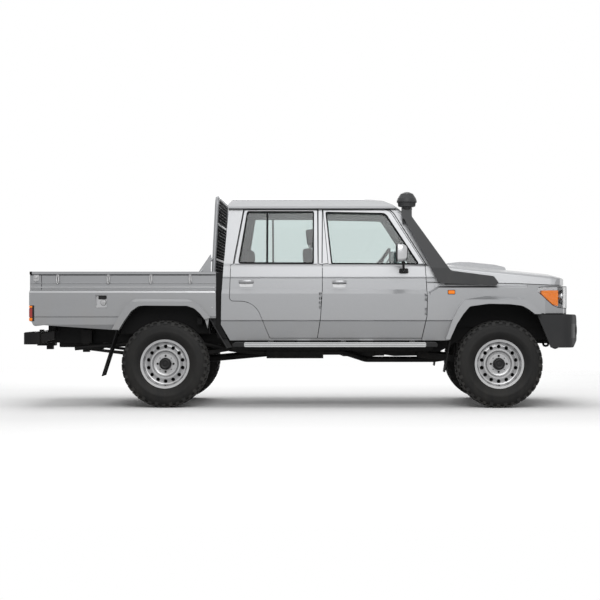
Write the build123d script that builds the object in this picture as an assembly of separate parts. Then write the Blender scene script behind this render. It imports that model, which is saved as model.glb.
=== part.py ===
from build123d import *
import math
import os

# Crew-cab pickup truck with a steel tub, in millimetres.
# X forward, Y to the truck's left, Z up, origin on the ground under the middle of its length.

# Driving sizes
WHEELBASE = 3180.0
FRONT_AXLE_X = 1880.0
REAR_AXLE_X = FRONT_AXLE_X - WHEELBASE
TYRE_R = 415.5
TYRE_HALF = 142.5
HUB_Z = TYRE_R
FRONT_TRACK = 1515.0
REAR_TRACK = 1460.0
FRONT_BUMPER_X = 2655.0
GUTTER_Z = 1893.0
ROOF_CROWN = 128.0
FLOOR_TOP = 700.0
FLOOR_THICK = 40.0
RAIL_IN = 320.0
RAIL_OUT = 400.0
KINGPIN_Y = 640.0
STEER_ARM = 165.0
DOOR_SKIN = 30.0
FRAME_DEPTH = 48.0
WALL_INNER_Y = 735.0
DOOR_GAP = 5.5
SEAL_GAP = 8.0
PIN_PLAY = 0.3
FRONT_HINGE_X = 1184.0
REAR_HINGE_X = 178.0
DOOR_HINGE_Y = 848.0
SHUT_LAP = 18.0
BED_FLOOR_TOP = 860.0
BED_RAIL_TOP = 1295.0
SIDE_REST_Z = BED_FLOOR_TOP - 3
FRONT_HINGES = (915, 1050)
REAR_HINGES = (977, 1062)
BONNET_HINGE = (1334.0, 1368.0)
TAILGATE_HINGE = (-2592.0, 858.0)
GLASS_T = 6.0

# Cab side cross-section: half-width, height
SIDE = [
    (826, 640), (844, 818), (839, 823), (848, 834), (848, 1085), (822, 1125), (817, 1230),
    (811, 1235), (811, 1240), (816, 1245), (806, 1345), (785, 1372), (705, GUTTER_Z),
]

# Outlines seen from the side: x, z and, where a corner is round, its radius
FRONT_DOOR = [
    (154, 664), (184, 855), (201, 1118), (201, 1365, 8), (256, 1372), (206, GUTTER_Z - 6),
    (838, GUTTER_Z - 6, 90), (1176, 1352, 30), (1194, 1060), (1190, 870), (1142, 664),
]
REAR_DOOR = [
    (-684, 1018, 35), (-443, 1013, 200), (-300, 664, 18), (148, 664), (178, 855), (195, 1118),
    (195, 1357, 8), (152, 1372), (147, GUTTER_Z - 6), (-548, GUTTER_Z - 6, 12), (-641, 1372),
    (-674, 1357),
]
FRONT_WINDOW = [(232, 1866, 12), (800, 1855, 70), (1118, 1368, 14), (287, 1372, 15)]
REAR_WINDOW_DOOR = [(-520, 1872, 20), (112, 1872, 12), (112, 1376, 12), (-601, 1378, 20)]
CAB_INNER = [
    (-700, GUTTER_Z), (-742, 1375), (-762, 1071), (-766, 790), (-680, 640), (1262, 640),
    (1262, 1352), (940, GUTTER_Z),
]
CAB_SKIN = [
    (-700, GUTTER_Z), (-742, 1375), (-762, 1071), (-766, 790), (-680, 640), (1140, 640),
    (1165, 1200), (1330, 1196), (1330, 1354), (1262, 1354), (940, GUTTER_Z),
]
FRONT_ARCH = [
    (1398, 600), (1406, 652), (1472, 798), (1532, 892), (1593, 965, 60), (1778, 990, 200),
    (1978, 985), (2091, 971, 60), (2151, 938), (2212, 892), (2212, 600),
]
FRONT_FLARE = [
    (1366, 651), (1422, 812), (1482, 938), (1546, 1030, 60), (1763, 1062, 200), (2055, 1046),
    (2141, 1023, 60), (2214, 958), (2272, 892), (2140, 892), (2140, 651),
]
SHOULDER_SIDE = [(1203, 1020), (1203, 1107), (1304, 1165), (2230, 1165), (2230, 1020)]
REAR_ARCH = [
    (-1760, 640), (-1736, 738), (-1683, 825), (-1617, 918), (-1550, 966, 60), (-1496, 972),
    (-1084, 969), (-1017, 945, 60), (-964, 898), (-918, 840), (-860, 640),
]
REAR_FLARE = [
    (-1800, 744), (-1740, 858), (-1674, 958), (-1607, 1018, 60), (-1574, 1038), (-1079, 1032),
    (-977, 985, 60), (-861, 856), (-920, 840), (-1700, 744),
]
BED_SIDE = [
    (822, 730), (845, 790), (845, 858), (841, 862), (846, 868), (845, 1098), (800, 1118),
    (800, 1141), (805, 1144), (800, 1148), (800, 1178), (805, 1182), (800, 1190), (800, 1269),
    (812, 1269), (812, BED_RAIL_TOP), (745, BED_RAIL_TOP), (745, SIDE_REST_Z),
    (776, SIDE_REST_Z), (776, 730),
]
BED_OUTLINE = [
    (-2590, BED_RAIL_TOP), (-2590, 860, 30), (-2545, 775, 30), (-2451, 785), (-1745, 737),
    (-1600, 700), (-900, 700), (-880, 854), (-814, 854), (-817, BED_RAIL_TOP),
]

# Bonnet sections: x, half-width, lower edge, shoulder, centre height
BONNET = [
    (1338, 808, 1194, 1356, 1376), (1650, 808, 1192, 1320, 1346), (2068, 806, 1184, 1281, 1308),
    (2380, 802, 1171, 1250, 1276), (2500, 798, 1167, 1222, 1246), (2566, 794, 1166, 1196, 1204),
]

# Wheels: name, wheel centre x, wheel centre half-track, side
WHEELS = [
    ("front_left", FRONT_AXLE_X, FRONT_TRACK / 2, 1),
    ("front_right", FRONT_AXLE_X, FRONT_TRACK / 2, -1),
    ("rear_left", REAR_AXLE_X, REAR_TRACK / 2, 1),
    ("rear_right", REAR_AXLE_X, REAR_TRACK / 2, -1),
]
# Turned profiles: radius, distance outboard of the wheel's centre plane
RIM_BARREL = [
    (234, -108), (234, -101), (219, -98), (218, -60), (204, -42), (204, 36), (218, 60),
    (219, 98), (234, 101), (234, 108), (212, 106), (210, 64), (196, 42), (196, -46),
    (210, -64), (212, -106),
]
RIM_DISC = [
    (198, 14), (198, 34), (186, 30), (168, 34), (142, 50), (128, 50), (112, 38), (96, 34),
    (58, 34), (58, 24), (98, 24), (116, 28), (130, 39), (140, 39), (164, 23), (184, 16),
]
HUB_BORE = 30.0
RIM_HUB = [(HUB_BORE, -26), (58, -26), (58, 40), (54, 44), (54, 84), (46, 92), (0, 92), (0, 52), (HUB_BORE, 52)]
TYRE = [
    (219.3, -96), (235, -99.5), (262, -128), (300, -141), (338, -TYRE_HALF), (374, -138),
    (400, -129), (TYRE_R - 4, -118), (TYRE_R, -108), (TYRE_R, 108), (TYRE_R - 4, 118),
    (400, 129), (374, 138), (338, TYRE_HALF), (300, 141), (262, 128), (235, 99.5), (219.3, 96),
    (219.3, 76), (246, 96), (300, 124), (340, 126), (384, 112), (393, 90), (393, -90),
    (384, -112), (340, -126), (300, -124), (246, -96), (219.3, -76),
]


def box(x0, x1, y0, y1, z0, z1):
    return Pos((x0 + x1) / 2, (y0 + y1) / 2, (z0 + z1) / 2) * Box(x1 - x0, y1 - y0, z1 - z0)


def flat(points, radius=0.0):
    radii = [p[2] if len(p) > 2 else radius for p in points]
    places = [(p[0], p[1]) for p in points]
    if max(radii) > 0:
        return make_face(FilletPolyline(*places, radius=radii, close=True))
    return make_face(Polyline(*places, close=True))


def along_x(points, x0, x1, radius=0.0):
    face = Pos(x0, 0, 0) * (Plane.YZ * flat(points, radius))
    return extrude(face, amount=x1 - x0, dir=(1, 0, 0))


def face_along_y(face, y0, y1):
    return extrude(Pos(0, y0, 0) * (Plane.XZ * face), amount=y1 - y0, dir=(0, 1, 0))


def along_y(points, y0, y1, radius=0.0):
    return face_along_y(flat(points, radius), y0, y1)


def along_z(points, z0, z1, radius=0.0):
    return extrude(Pos(0, 0, z0) * flat(points, radius), amount=z1 - z0, dir=(0, 0, 1))


def turned_y(points, x, y, z, side=1):
    face = Pos(x, y, z) * flat([(r, side * w) for r, w in points])
    return revolve(face, axis=Axis((x, y, z), (0, 1, 0)))


def rod(start, end, radius):
    span = Vector(*end) - Vector(*start)
    plane = Plane(origin=Vector(*start), z_dir=span)
    return extrude(plane * Circle(radius), amount=span.length)


def pipe(points, radius, bend=0.0, wall=0.0):
    path = FilletPolyline(*points, radius=bend) if bend else Polyline(*points)
    ring = Circle(radius) - Circle(radius - wall) if wall else Circle(radius)
    return sweep(Plane(origin=path @ 0, z_dir=path % 0) * ring, path=path)


def other_side(piece):
    return mirror(piece, about=Plane.XZ)


def group(*pieces):
    return Compound([solid for piece in pieces for solid in piece.solids()])


def pair(piece):
    return group(piece, other_side(piece))


def band(points, outer, inner, x0, x1):
    """Strip of the side wall between two depths below its outer surface."""
    outside = [(y - outer, z) for y, z in points]
    inside = [(y - inner, z) for y, z in reversed(points)]
    return along_x(outside + inside, x0, x1)


def wall_inside(depth, x0, x1, play=0.0):
    """Strip of the side wall from a depth below its surface to the cab's inner face."""
    inner = WALL_INNER_Y + play
    outside = [(y - depth, z) for y, z in SIDE]
    top = (SIDE[-1][0] - FRAME_DEPTH, SIDE[-1][1])
    return along_x(outside + [top, (inner, 1372), (inner, SIDE[0][1])], x0, x1)


def upright_hinge(x, y, z, length, reach):
    """Pin hinge on an upright axis: fixed half, moving eye, bore and the notches for the ears."""
    ear, play = 10, 5
    half = length / 2
    bore = Pos(x, y, z) * Cylinder(3 + PIN_PLAY, length + 2)
    eye = Pos(x, y, z) * Cylinder(7, length)
    fixed = Pos(x, y, z) * Cylinder(3, length + 2 * (play + ear))
    notches = []
    for s in (1, -1):
        zc = z + s * (half + play + ear / 2)
        fixed += Pos(x, y, zc) * Cylinder(7, ear)
        fixed += box(x - 6, x + 6, reach, y, zc - ear / 2, zc + ear / 2)
        notches.append(box(x - 12, x + 30, reach - 2, y + 20, zc - ear / 2 - play, zc + ear / 2 + play))
    return fixed, eye, bore, notches


def door_hinges(x):
    heights = FRONT_HINGES if x == FRONT_HINGE_X else REAR_HINGES
    return [upright_hinge(x, DOOR_HINGE_Y, z, 26, 806) for z in heights]


def cross_hinge(x, z, y, radius):
    """Pin hinge lying across the truck: fixed pin and ears, moving eye, and both clearances."""
    length, ear, play = 36, 12, 5

    def disc(r, at, width):
        return rod((x, at - width / 2, z), (x, at + width / 2, z), r)

    fixed = disc(3.5, y, length + 2 * (play + ear))
    eye = disc(radius, y, length) - disc(3.5 + PIN_PLAY, y, length + 2)
    room_fixed = disc(radius + 5, y, length + 2 * play)
    room_moving = None
    for s in (1, -1):
        at = y + s * (length / 2 + play + ear / 2)
        fixed += disc(radius, at, ear)
        notch = disc(radius + 5, at, ear + 2 * play)
        room_moving = notch if room_moving is None else room_moving + notch
    return fixed, eye, room_fixed, room_moving


def door_aperture(outline):
    return offset(flat(outline), amount=-SHUT_LAP)


def door_left(outline, window, hinge_x):
    """One left door: outer skin to its own outline, inner box to the aperture, window cut."""
    x0 = min(p[0] for p in outline) - 10
    x1 = max(p[0] for p in outline) + 10
    skin = band(SIDE, 0, DOOR_SKIN, x0, x1) & along_y(outline, 500, 900)
    inner_face = offset(flat(outline), amount=-SHUT_LAP - SEAL_GAP)
    inner = wall_inside(DOOR_SKIN, x0, x1, 6) & face_along_y(inner_face, 500, 900)
    door = (skin + inner) - along_y(window, 500, 900)
    for fixed, eye, bore, notches in door_hinges(hinge_x):
        door = door + eye - bore
        for notch in notches:
            door -= notch
    return door


def door_glass_left(window):
    """Flat pane filling the window, in the middle of the frame's thickness."""
    x0 = min(p[0] for p in window) - 10
    x1 = max(p[0] for p in window) + 10
    middle = FRAME_DEPTH / 2
    slab = band(SIDE, middle - GLASS_T / 2, middle + GLASS_T / 2, x0, x1)
    return slab & along_y(window, 500, 900)


def body_side_left():
    """Pillars, sill and rear quarter of the left cab wall, round both door openings."""
    doors = [FRONT_DOOR, REAR_DOOR]
    skin = band(SIDE, 0, DOOR_SKIN + SEAL_GAP, -770, 1340) & along_y(CAB_SKIN, 500, 900)
    for outline in doors:
        skin -= face_along_y(offset(flat(outline), amount=DOOR_GAP), 500, 900)
    inner = wall_inside(DOOR_SKIN + SEAL_GAP, -770, 1340) & along_y(CAB_INNER, 500, 900)
    for outline in doors:
        inner -= face_along_y(door_aperture(outline), 500, 900)
    side = skin + inner
    for hinge_x in (FRONT_HINGE_X, REAR_HINGE_X):
        for fixed, eye, bore, notches in door_hinges(hinge_x):
            side += fixed
    return side


def roof_shell():
    crown = GUTTER_Z + ROOF_CROWN

    def solid(inset):
        low = GUTTER_Z - (5 if inset else 0)
        length = [
            (-706 + inset, low), (-708 + inset, 1945, 20), (-654 + inset, crown - 9 - inset, 60),
            (24, crown - inset), (436, crown - 7 - inset), (782 - inset, crown - 38 - inset, 90),
            (872 - inset, 1942, 30), (934 - inset * 1.6, low),
        ]
        width = [
            (722 - inset, low), (708 - inset, 1925, 30), (570, 2003 - inset, 150),
            (0, crown + 3 - inset), (-570, 2003 - inset, 150), (-708 + inset, 1925, 30),
            (-722 + inset, low),
        ]
        return along_y(length, -760, 760) & along_x(width, -780, 980)

    shell = solid(0) - solid(26)
    for side in (1, -1):
        y0, y1 = sorted((side * 700, side * 732))
        shell += box(-700, 800, y0, y1, GUTTER_Z, GUTTER_Z + 5)
        y0, y1 = sorted((side * 727, side * 732))
        shell += box(-700, 800, y0, y1, GUTTER_Z, GUTTER_Z + 12)
    return shell


def cab_back():
    outline = [
        (-700, GUTTER_Z), (-742, 1375), (-762, 1071), (-766, 790), (-740, 700), (-680, 700),
        (-700, 800), (-700, 1071), (-690, 1375), (-660, GUTTER_Z),
    ]
    width = [(WALL_INNER_Y, 700), (WALL_INNER_Y, 1372), (657, GUTTER_Z)]
    across = width + [(-y, z) for y, z in reversed(width)]
    wall = along_y(outline, -800, 800) & along_x(across, -800, -600)
    window = [(560, 1430, 45), (540, 1800, 45), (-540, 1800, 45), (-560, 1430, 45)]
    return wall - along_x(window, -800, -600)


def rear_window_pane():
    window = [(560, 1430, 45), (540, 1800, 45), (-540, 1800, 45), (-560, 1430, 45)]
    plane = [(-719, 1400), (-687, 1830), (-681, 1830), (-713, 1400)]
    return along_x(window, -800, -600) & along_y(plane, -700, 700)


def windscreen_pane():
    line = [(1261.1, 1356), (1268.1, 1356), (950.3, 1888), (943.3, 1888)]
    across = [(752, 1356, 30), (680, 1888, 50), (-680, 1888, 50), (-752, 1356, 30)]
    return along_y(line, -800, 800) & along_x(across, 900, 1300)


def ladder_frame():
    rail = [
        (-2492, 733), (-950, 733), (-750, 660), (1300, 660), (1480, 760), (2480, 760),
        (2480, 640), (1520, 620), (1340, 520), (-700, 520), (-900, 608), (-2492, 608),
    ]
    frame = along_y(rail, RAIL_IN, RAIL_OUT) + along_y(rail, -RAIL_OUT, -RAIL_IN)
    # Cross members: x, half length, bottom, top
    for x, half, z0, z1 in [
        (-2440, 50, 620, 720), (-1560, 35, 640, 720), (-1020, 35, 650, 725), (-250, 40, 550, 640),
        (760, 40, 480, 520), (2400, 40, 650, 700),
    ]:
        frame += box(x - half, x + half, -RAIL_OUT, RAIL_OUT, z0, z1)
    for side in (1, -1):
        # Brackets: x from and to, outer y, bottom, top
        for x0, x1, reach, z0, z1 in [
            (-700, -580, 515, 566, 640), (-2145, -2045, 515, 612, 733), (1810, 1950, 535, 700, 756),
        ]:
            y0, y1 = sorted((side * (RAIL_OUT - 20), side * reach))
            frame += box(x0, x1, y0, y1, z0, z1)
        # Body mount arms: x
        for x in (-560, 240, 1120):
            y0, y1 = sorted((side * (RAIL_OUT - 20), side * 640))
            frame += box(x - 40, x + 40, y0, y1, 610, 660)
    return frame


def engine_block():
    block = box(1330, 2120, -280, 280, 600, 1150)
    for side in (1, -1):
        y0, y1 = sorted((side * 260, side * RAIL_IN))
        block += box(1700, 1800, y0, y1, 650, 720)
    return block


def gearbox():
    case = along_y([(820, 560), (1330, 600), (1330, 900, 60), (1060, 740), (820, 700)], -140, 140)
    return case + box(700, 822, -140, 225, 520, 655)


def rear_axle():
    z = HUB_Z
    axle = rod((REAR_AXLE_X, -640, z), (REAR_AXLE_X, 640, z), 45)
    axle += rod((REAR_AXLE_X, -85, z), (REAR_AXLE_X, 85, z), 140)
    axle += rod((REAR_AXLE_X, 0, z), (REAR_AXLE_X + 215, 0, z + 12), 62)
    for side in (1, -1):
        y0, y1 = sorted((side * 450, side * 520))
        axle += box(REAR_AXLE_X - 60, REAR_AXLE_X + 60, y0, y1, z, 466)
        axle += rod((REAR_AXLE_X, side * 618, z), (REAR_AXLE_X, side * 690, z), 150)
        axle += rod((REAR_AXLE_X, side * 680, z), (REAR_AXLE_X, side * 776, z), HUB_BORE - PIN_PLAY)
    return axle


def leaf_spring_left():
    leaf = [
        (-600, 566), (-640, 566), (-1000, 522), (-1220, 508), (-1380, 508), (-1650, 520),
        (-2095, 560), (-2095, 540), (-1700, 490), (-1420, 466), (-1180, 466), (-950, 490),
        (-640, 542), (-600, 542),
    ]
    spring = along_y(leaf, 452, 512)
    return spring + box(-2130, -2070, 440, 515, 520, 612)


def front_axle():
    x, z = FRONT_AXLE_X, HUB_Z
    axle = rod((x, -KINGPIN_Y, z), (x, KINGPIN_Y, z), 42)
    axle += rod((x, 95, z), (x, 235, z), 112)
    axle += rod((x, 165, z), (x - 175, 165, z + 8), 52)
    for side in (1, -1):
        y0, y1 = sorted((side * 410, side * 530))
        axle += box(x - 55, x + 55, y0, y1, z, 480)
        axle += Pos(x, side * KINGPIN_Y, z) * Cylinder(34, 98)
        cut0, cut1 = sorted((side * (KINGPIN_Y + 20), side * 800))
        axle -= box(x - 60, x + 60, cut0, cut1, z - 80, z + 80) - (
            Pos(x, side * KINGPIN_Y, z) * Cylinder(34, 98)
        )
        axle -= Pos(x, side * KINGPIN_Y, z) * Cylinder(14 + PIN_PLAY, 200)
    return axle


def front_suspension():
    coil = Pos(FRONT_AXLE_X, 470, 590) * Cylinder(52, 220)
    arm = along_y([(1120, 520), (1180, 520), (1836, 448), (1836, 384), (1120, 462)], 330, 384)
    return group(pair(coil), pair(arm))


def prop_shafts():
    rear = rod((696, 0, 590), (REAR_AXLE_X + 217, 0, HUB_Z + 13), 34)
    front = rod((829, 182, 580), (FRONT_AXLE_X - 179, 166, HUB_Z + 9), 26)
    return group(rear, front)


def tie_rod():
    x, z = FRONT_AXLE_X + STEER_ARM, 366
    bar = rod((x, -KINGPIN_Y, z), (x, KINGPIN_Y, z), 14)
    for side in (1, -1):
        bar += Pos(x, side * KINGPIN_Y, z) * Cylinder(24, 30)
        bar -= Pos(x, side * KINGPIN_Y, z) * Cylinder(8 + PIN_PLAY, 60)
    end = KINGPIN_Y + 24
    return bar & box(x - 60, x + 60, -end, end, z - 60, z + 60)


def knuckle_left():
    x, y, z = FRONT_AXLE_X, KINGPIN_Y, HUB_Z
    column = box(x - 36, x + 36, 682, 704, z - 88, z + 88)
    for z0, z1 in [(z + 56, z + 88), (z - 88, z - 56)]:
        column += box(x - 36, x + 36, y, 704, z0, z1)
        column += Pos(x, y, (z0 + z1) / 2) * Cylinder(36, z1 - z0)
    column += Pos(x, y, z) * Cylinder(14, 170)
    arm = [
        (x + 10, 684), (x + 10, 704), (x + 90, 704), (x + STEER_ARM + 18, 662),
        (x + STEER_ARM + 18, 622), (x + STEER_ARM - 18, 622), (x + 80, 684),
    ]
    column += along_z(arm, 387, 409)
    column += Pos(x + STEER_ARM, y, 372) * Cylinder(8, 50)
    column += rod((x, 702, z), (x, 714, z), 150)
    column += rod((x, 704, z), (x, FRONT_TRACK / 2 + 46, z), HUB_BORE - PIN_PLAY)
    return column


def cab_floor():
    y = WALL_INNER_Y
    top, low = FLOOR_TOP, FLOOR_TOP - FLOOR_THICK
    floor = box(-720, 1196, -y, y, low, top)
    floor += along_y([(1160, low), (1232, low), (1232, 1340), (1196, 1340), (1196, 800), (1120, top)], -y, y)
    tunnel = along_x([(-190, low), (-150, 900, 50), (150, 900, 50), (190, low)], 640, 1232)
    hollow = along_x([(-165, low - 5), (-145, 876, 40), (145, 876, 40), (165, low - 5)], 600, 1240)
    return floor + tunnel - hollow


def cowl_panel():
    outline = [(1232, 1180), (1330, 1180), (1330, 1362), (1272, 1356), (1232, 1340)]
    panel = along_y(outline, -WALL_INNER_Y, WALL_INNER_Y)
    panel -= box(1250, 1312, -690, 690, 1150, 1330)
    for y in (-560, 560):
        fixed, eye, room_fixed, room_moving = cross_hinge(*BONNET_HINGE, y, 8)
        panel = panel - room_fixed + fixed
    return panel


def front_plan(shift=0.0, inset=0.0):
    """Plan outline of the nose, from the firewall forward."""
    half = [
        (1100, 870 - inset), (2262, 870 - inset, 150), (2498 + shift - inset, 775 - inset, 50),
        (2566 + shift - inset, 520, 200), (2598 + shift - inset, 200, 300),
    ]
    return half + [(p[0], -p[1]) + p[2:] for p in reversed(half)]


def wing_shoulder_left():
    """Raised side of the wing, with a ramp up to it behind the side indicator."""
    face = Pos(0, 814, 0) * (Plane.ZX * flat([(z, x) for x, z in SHOULDER_SIDE]))
    return extrude(face, amount=34, taper=35)


def wing_left():
    section = [
        (826, 640), (844, 818), (839, 823), (848, 834), (848, 1068), (824, 1106), (818, 1200),
        (790, 1200), (803, 1106), (818, 1075), (818, 834), (796, 640),
    ]
    outline = [
        (1145, 640), (1197, 870), (1200.5, 1060), (1192.5, 1186), (1650, 1185), (2068, 1177),
        (2250, 1169.5), (2250, 893), (2100, 893), (2100, 640),
    ]
    skin = along_x(section, 1140, 2250) & along_y(outline, 600, 900)
    nose = [
        (2150, 1173), (2250, 1169.5), (2478, 1160), (2478, 1154), (2270, 1151), (2247, 1138),
        (2247, 1100), (2390, 973), (2458, 949), (2520, 942), (2520, 893), (2150, 893),
    ]
    front = along_y(nose, 560, 848) & along_z(front_plan(), 600, 1300)
    front -= along_z(front_plan(0, 60), 600, 1300)
    flange = [
        (1336, 1185.5), (1650, 1185), (2068, 1177), (2478, 1160), (2478, 1154), (2270, 1151),
        (1867, 1166), (1336, 1168),
    ]
    top = along_y(flange, 700, 800) & along_z(front_plan(), 600, 1300)
    flare = along_y(FRONT_FLARE, 818, 935)
    flare -= along_y([(2000, 640), (2300, 640), (2300, 892), (2000, 892)], 700, 990)
    sheer = along_x([(846, 1074), (935, 1030), (990, 1030), (990, 1120), (846, 1120)], 1300, 2300)
    rear_face = box(1262, 1274, 742, 822, 640, 1165)
    arch = along_y(FRONT_ARCH, 400, 990)
    return (skin + wing_shoulder_left() + front + top + rear_face + (flare - sheer)) - arch


def inner_wing_left():
    """Apron between the engine bay and the wheel, with the arch liner on it."""
    apron = box(1262, 2330, 415, 425, 762, 1140)
    foot = box(1500, 2330, 385, 425, 760, 768)
    top = along_y([(1262, 1130), (2330, 1130), (2330, 1140), (1262, 1140)], 415, 706)
    rise = along_y([(1336, 1130), (2150, 1130), (2150, 1150), (1867, 1166), (1336, 1168)], 700, 712)
    liner_line = [
        (1300, 690), (1376, 690), (1436, 815), (1498, 915), (1570, 1000, 50), (1640, 1024),
        (2090, 1012, 40), (2170, 972), (2240, 900), (2240, 886), (2252, 886), (2252, 904),
        (2180, 984), (2096, 1024, 40), (1640, 1036), (1560, 1010, 50), (1486, 920), (1424, 820),
        (1368, 702), (1300, 702),
    ]
    liner = along_y(liner_line, 420, 788) - box(2205, 2400, 550, 900, 885, 1200)
    return apron + foot + top + rise + liner


def bonnet():
    def solid(inset):
        sections = []
        for x, half, low, shoulder, centre in BONNET:
            back = inset if x > 2400 else 0
            h, s, c = half - inset, shoulder - inset, centre - inset
            z = low - (6 if inset else 0)
            r = min(32, 0.4 * (s - z))
            points = [(-h, z), (-h + 12, s, r), (-480, c, 100), (480, c, 100), (h - 12, s, r), (h, z)]
            sections.append(Pos(x - back, 0, 0) * (Plane.YZ * flat(points)))
        return loft([face.face() for face in sections], ruled=True)

    lid = solid(0) & along_z(front_plan(-32), 1100, 1500)
    scoop_side = [
        (1372, 1340), (1420, 1388, 40), (1545, 1401, 80), (1640, 1400, 200), (1895, 1374, 200),
        (1992, 1350, 20), (2010, 1300),
    ]
    scoop_across = [(-300, 1290), (-235, 1440, 60), (235, 1440, 60), (300, 1290)]
    scoop = along_y(scoop_side, -320, 320) & along_x(scoop_across, 1300, 2100)
    lid = lid + scoop
    lid -= solid(26) & along_z(front_plan(-32, 26), 1100, 1500)
    mouth = along_y([(1900, 1322), (2030, 1308), (2030, 1334), (1900, 1352)], -225, 225)
    lid -= mouth
    for y in (-560, 560):
        fixed, eye, room_fixed, room_moving = cross_hinge(*BONNET_HINGE, y, 8)
        x, z = BONNET_HINGE
        lid = lid - room_moving - rod((x, y - 30, z), (x, y + 30, z), 3.8)
        lid += eye
    return lid


def headlamp_left():
    lamp = [
        (2247, 1138), (2270, 1151), (2472, 1154), (2560, 1154), (2560, 942), (2458, 949),
        (2390, 973), (2247, 1100),
    ]
    block = face_along_y(offset(flat(lamp), amount=-3), 533, 848)
    block = block & along_z(front_plan(-6), 600, 1300)
    bucket = box(2384, 2480, 610, 690, 1000, 1080)
    return block - along_z(front_plan(-6, 80), 600, 1300) + bucket


def grille():
    block = along_z(front_plan(), 893, 1158) - along_z(front_plan(0, 70), 800, 1200)
    block &= box(2300, 2700, -529, 529, 893, 1158)
    block += (along_z(front_plan(), 893, 941) - along_z(front_plan(0, 60), 800, 1200)) & box(2380, 2700, -560, 560, 893, 941)
    for z in (960, 1000, 1040, 1080, 1120):
        block -= box(2560, 2700, -470, 470, z, z + 24)
    return block + box(2480, 2545, -520, 520, 889, 905)


def radiator():
    core = box(2290, 2360, -RAIL_IN, RAIL_IN, 700, 1120)
    panel = box(2360, 2384, -700, 700, 860, 1128)
    return core + panel


def front_bumper():
    def plan(inset):
        half = [
            (2200, 872 - inset), (2560 - inset, 872 - inset, 120), (FRONT_BUMPER_X - inset, 600, 250),
            (FRONT_BUMPER_X - inset, 200),
        ]
        return half + [(p[0], -p[1]) + p[2:] for p in reversed(half)]

    side = [
        (2240, 886), (2372, 572), (2600, 572, 30), (2652, 640, 30), (FRONT_BUMPER_X, 800, 40),
        (2640, 886, 30),
    ]
    shell = along_z(plan(0), 560, 890) - along_z(plan(55), 500, 874) - along_z(plan(120), 800, 900)
    shell = shell & along_y(side, -900, 900)
    for s in (1, -1):
        y0, y1 = sorted((s * RAIL_IN, s * RAIL_OUT))
        shell += box(2480, 2610, y0, y1, 650, 750)
    intake = box(2560, 2700, -420, 420, 640, 700)
    return shell - (intake - box(2560, 2610, -420, 420, 600, 720))


def snorkel():
    outline = [
        (953, 1893), (953, 1838), (1217, 1364, 30), (1290, 1211, 20), (1323, 1184),
        (1851, 1167, 10), (1871, 1191, 10), (1824, 1251, 40), (1417, 1304, 60), (1350, 1398, 60),
        (1049, 1818, 30), (1049, 1893),
    ]
    lean = [(-822, 1150), (-822, 1330), (-768, 1900), (-848, 1900), (-896, 1330), (-896, 1150)]
    body = along_y(outline, -920, -700) & along_x(lean, 900, 1900)
    body += box(1360, 1800, -824, -820.2, 1170, 1182)
    body += box(962, 992, -790, -700, 1762, 1792) - other_side(band(SIDE, 0, 60, 900, 1900))
    head = [
        (0, 1880), (46, 1880), (48, 1906), (78, 1914), (82, 1950), (96, 1958), (96, 1968),
        (88, 1992), (60, 2036), (22, 2052), (0, 2052),
    ]
    x, y = 1002, -808
    face = Pos(x, y, 0) * (Plane.XZ * flat(head))
    return body + revolve(face, axis=Axis((x, y, 0), (0, 0, 1)))


def mirror_left():
    head = box(893, 1003, 892, 1066, 1384, 1553)
    head = fillet(head.edges().filter_by(Axis.X), 30)
    foot = box(924, 1022, 790, 830, 1277, 1327) - band(SIDE, 0, 60, 900, 1100)
    arm = pipe([(960, 822, 1302), (960, 905, 1302), (955, 930, 1400)], 12, 40)
    return head + foot + arm


def bed_floor():
    top, low = BED_FLOOR_TOP, BED_FLOOR_TOP - 28
    floor = box(-2545, -862, -775, 775, low, top)
    for s in (1, -1):
        y0, y1 = sorted((s * 548, s * 775))
        floor -= box(-1762, -872, y0, y1, low - 5, top + 5)
        y0, y1 = sorted((s * 745, s * 780))
        floor -= box(-2600, -860, y0, y1, SIDE_REST_Z, top + 5)
        well = [
            (-1774, low), (-1756, 930, 60), (-1660, 1010, 60), (-980, 1010, 60), (-880, 930, 60),
            (-858, low),
        ]
        hollow = [
            (-1762, low - 5), (-1744, 922, 60), (-1652, 998, 60), (-988, 998, 60),
            (-892, 922, 60), (-872, low - 5),
        ]
        cover = along_y(well, *sorted((s * 540, s * 744)))
        floor += cover - along_y(hollow, *sorted((s * 550, s * 760)))
    # Cross bearers: x
    for x in (-2420, -1900, -1835, -790 - 110):
        floor += box(x - 30, x + 30, -545, 545, 733, low)
    floor += box(-862, -822, -744, 744, low, 1290)
    for y in (-500, 500):
        fixed, eye, room_fixed, room_moving = cross_hinge(*TAILGATE_HINGE, y, 12)
        strap = box(TAILGATE_HINGE[0], -2540, y - 35, y - 23, low, TAILGATE_HINGE[1] - 4)
        strap += box(TAILGATE_HINGE[0], -2540, y + 23, y + 35, low, TAILGATE_HINGE[1] - 4)
        floor += fixed + strap
    return floor


def bed_side_left():
    side = along_x(BED_SIDE, -2600, -800) & along_y(BED_OUTLINE, 700, 900)
    flare = along_y(REAR_FLARE, 800, 885)
    sheer = along_x([(842, 1048), (885, 1010), (960, 1010), (960, 1120), (842, 1120)], -2000, -700)
    side = side + (flare - sheer)
    side -= along_y(REAR_ARCH, 500, 990)
    side -= box(-2600, -2541, 783, 870, 822, 973)
    return side


def filler_pocket():
    return box(-1961, -1847, -870, -805, 948, 1075)


def tail_lamp_left():
    lamp = box(-2592, -2541, 783, 843, 822, 973)
    return lamp & along_x([(700, 800), (843, 800), (843, 1000), (700, 1000)], -2600, -2500)


def tailgate():
    gate = box(-2590, -2552, -738, 738, 868, 1290)
    gate -= box(-2600, -2584, -640, 640, 960, 1200)
    for y in (-500, 500):
        fixed, eye, room_fixed, room_moving = cross_hinge(*TAILGATE_HINGE, y, 12)
        gate = gate - room_moving + eye
    return gate


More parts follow.
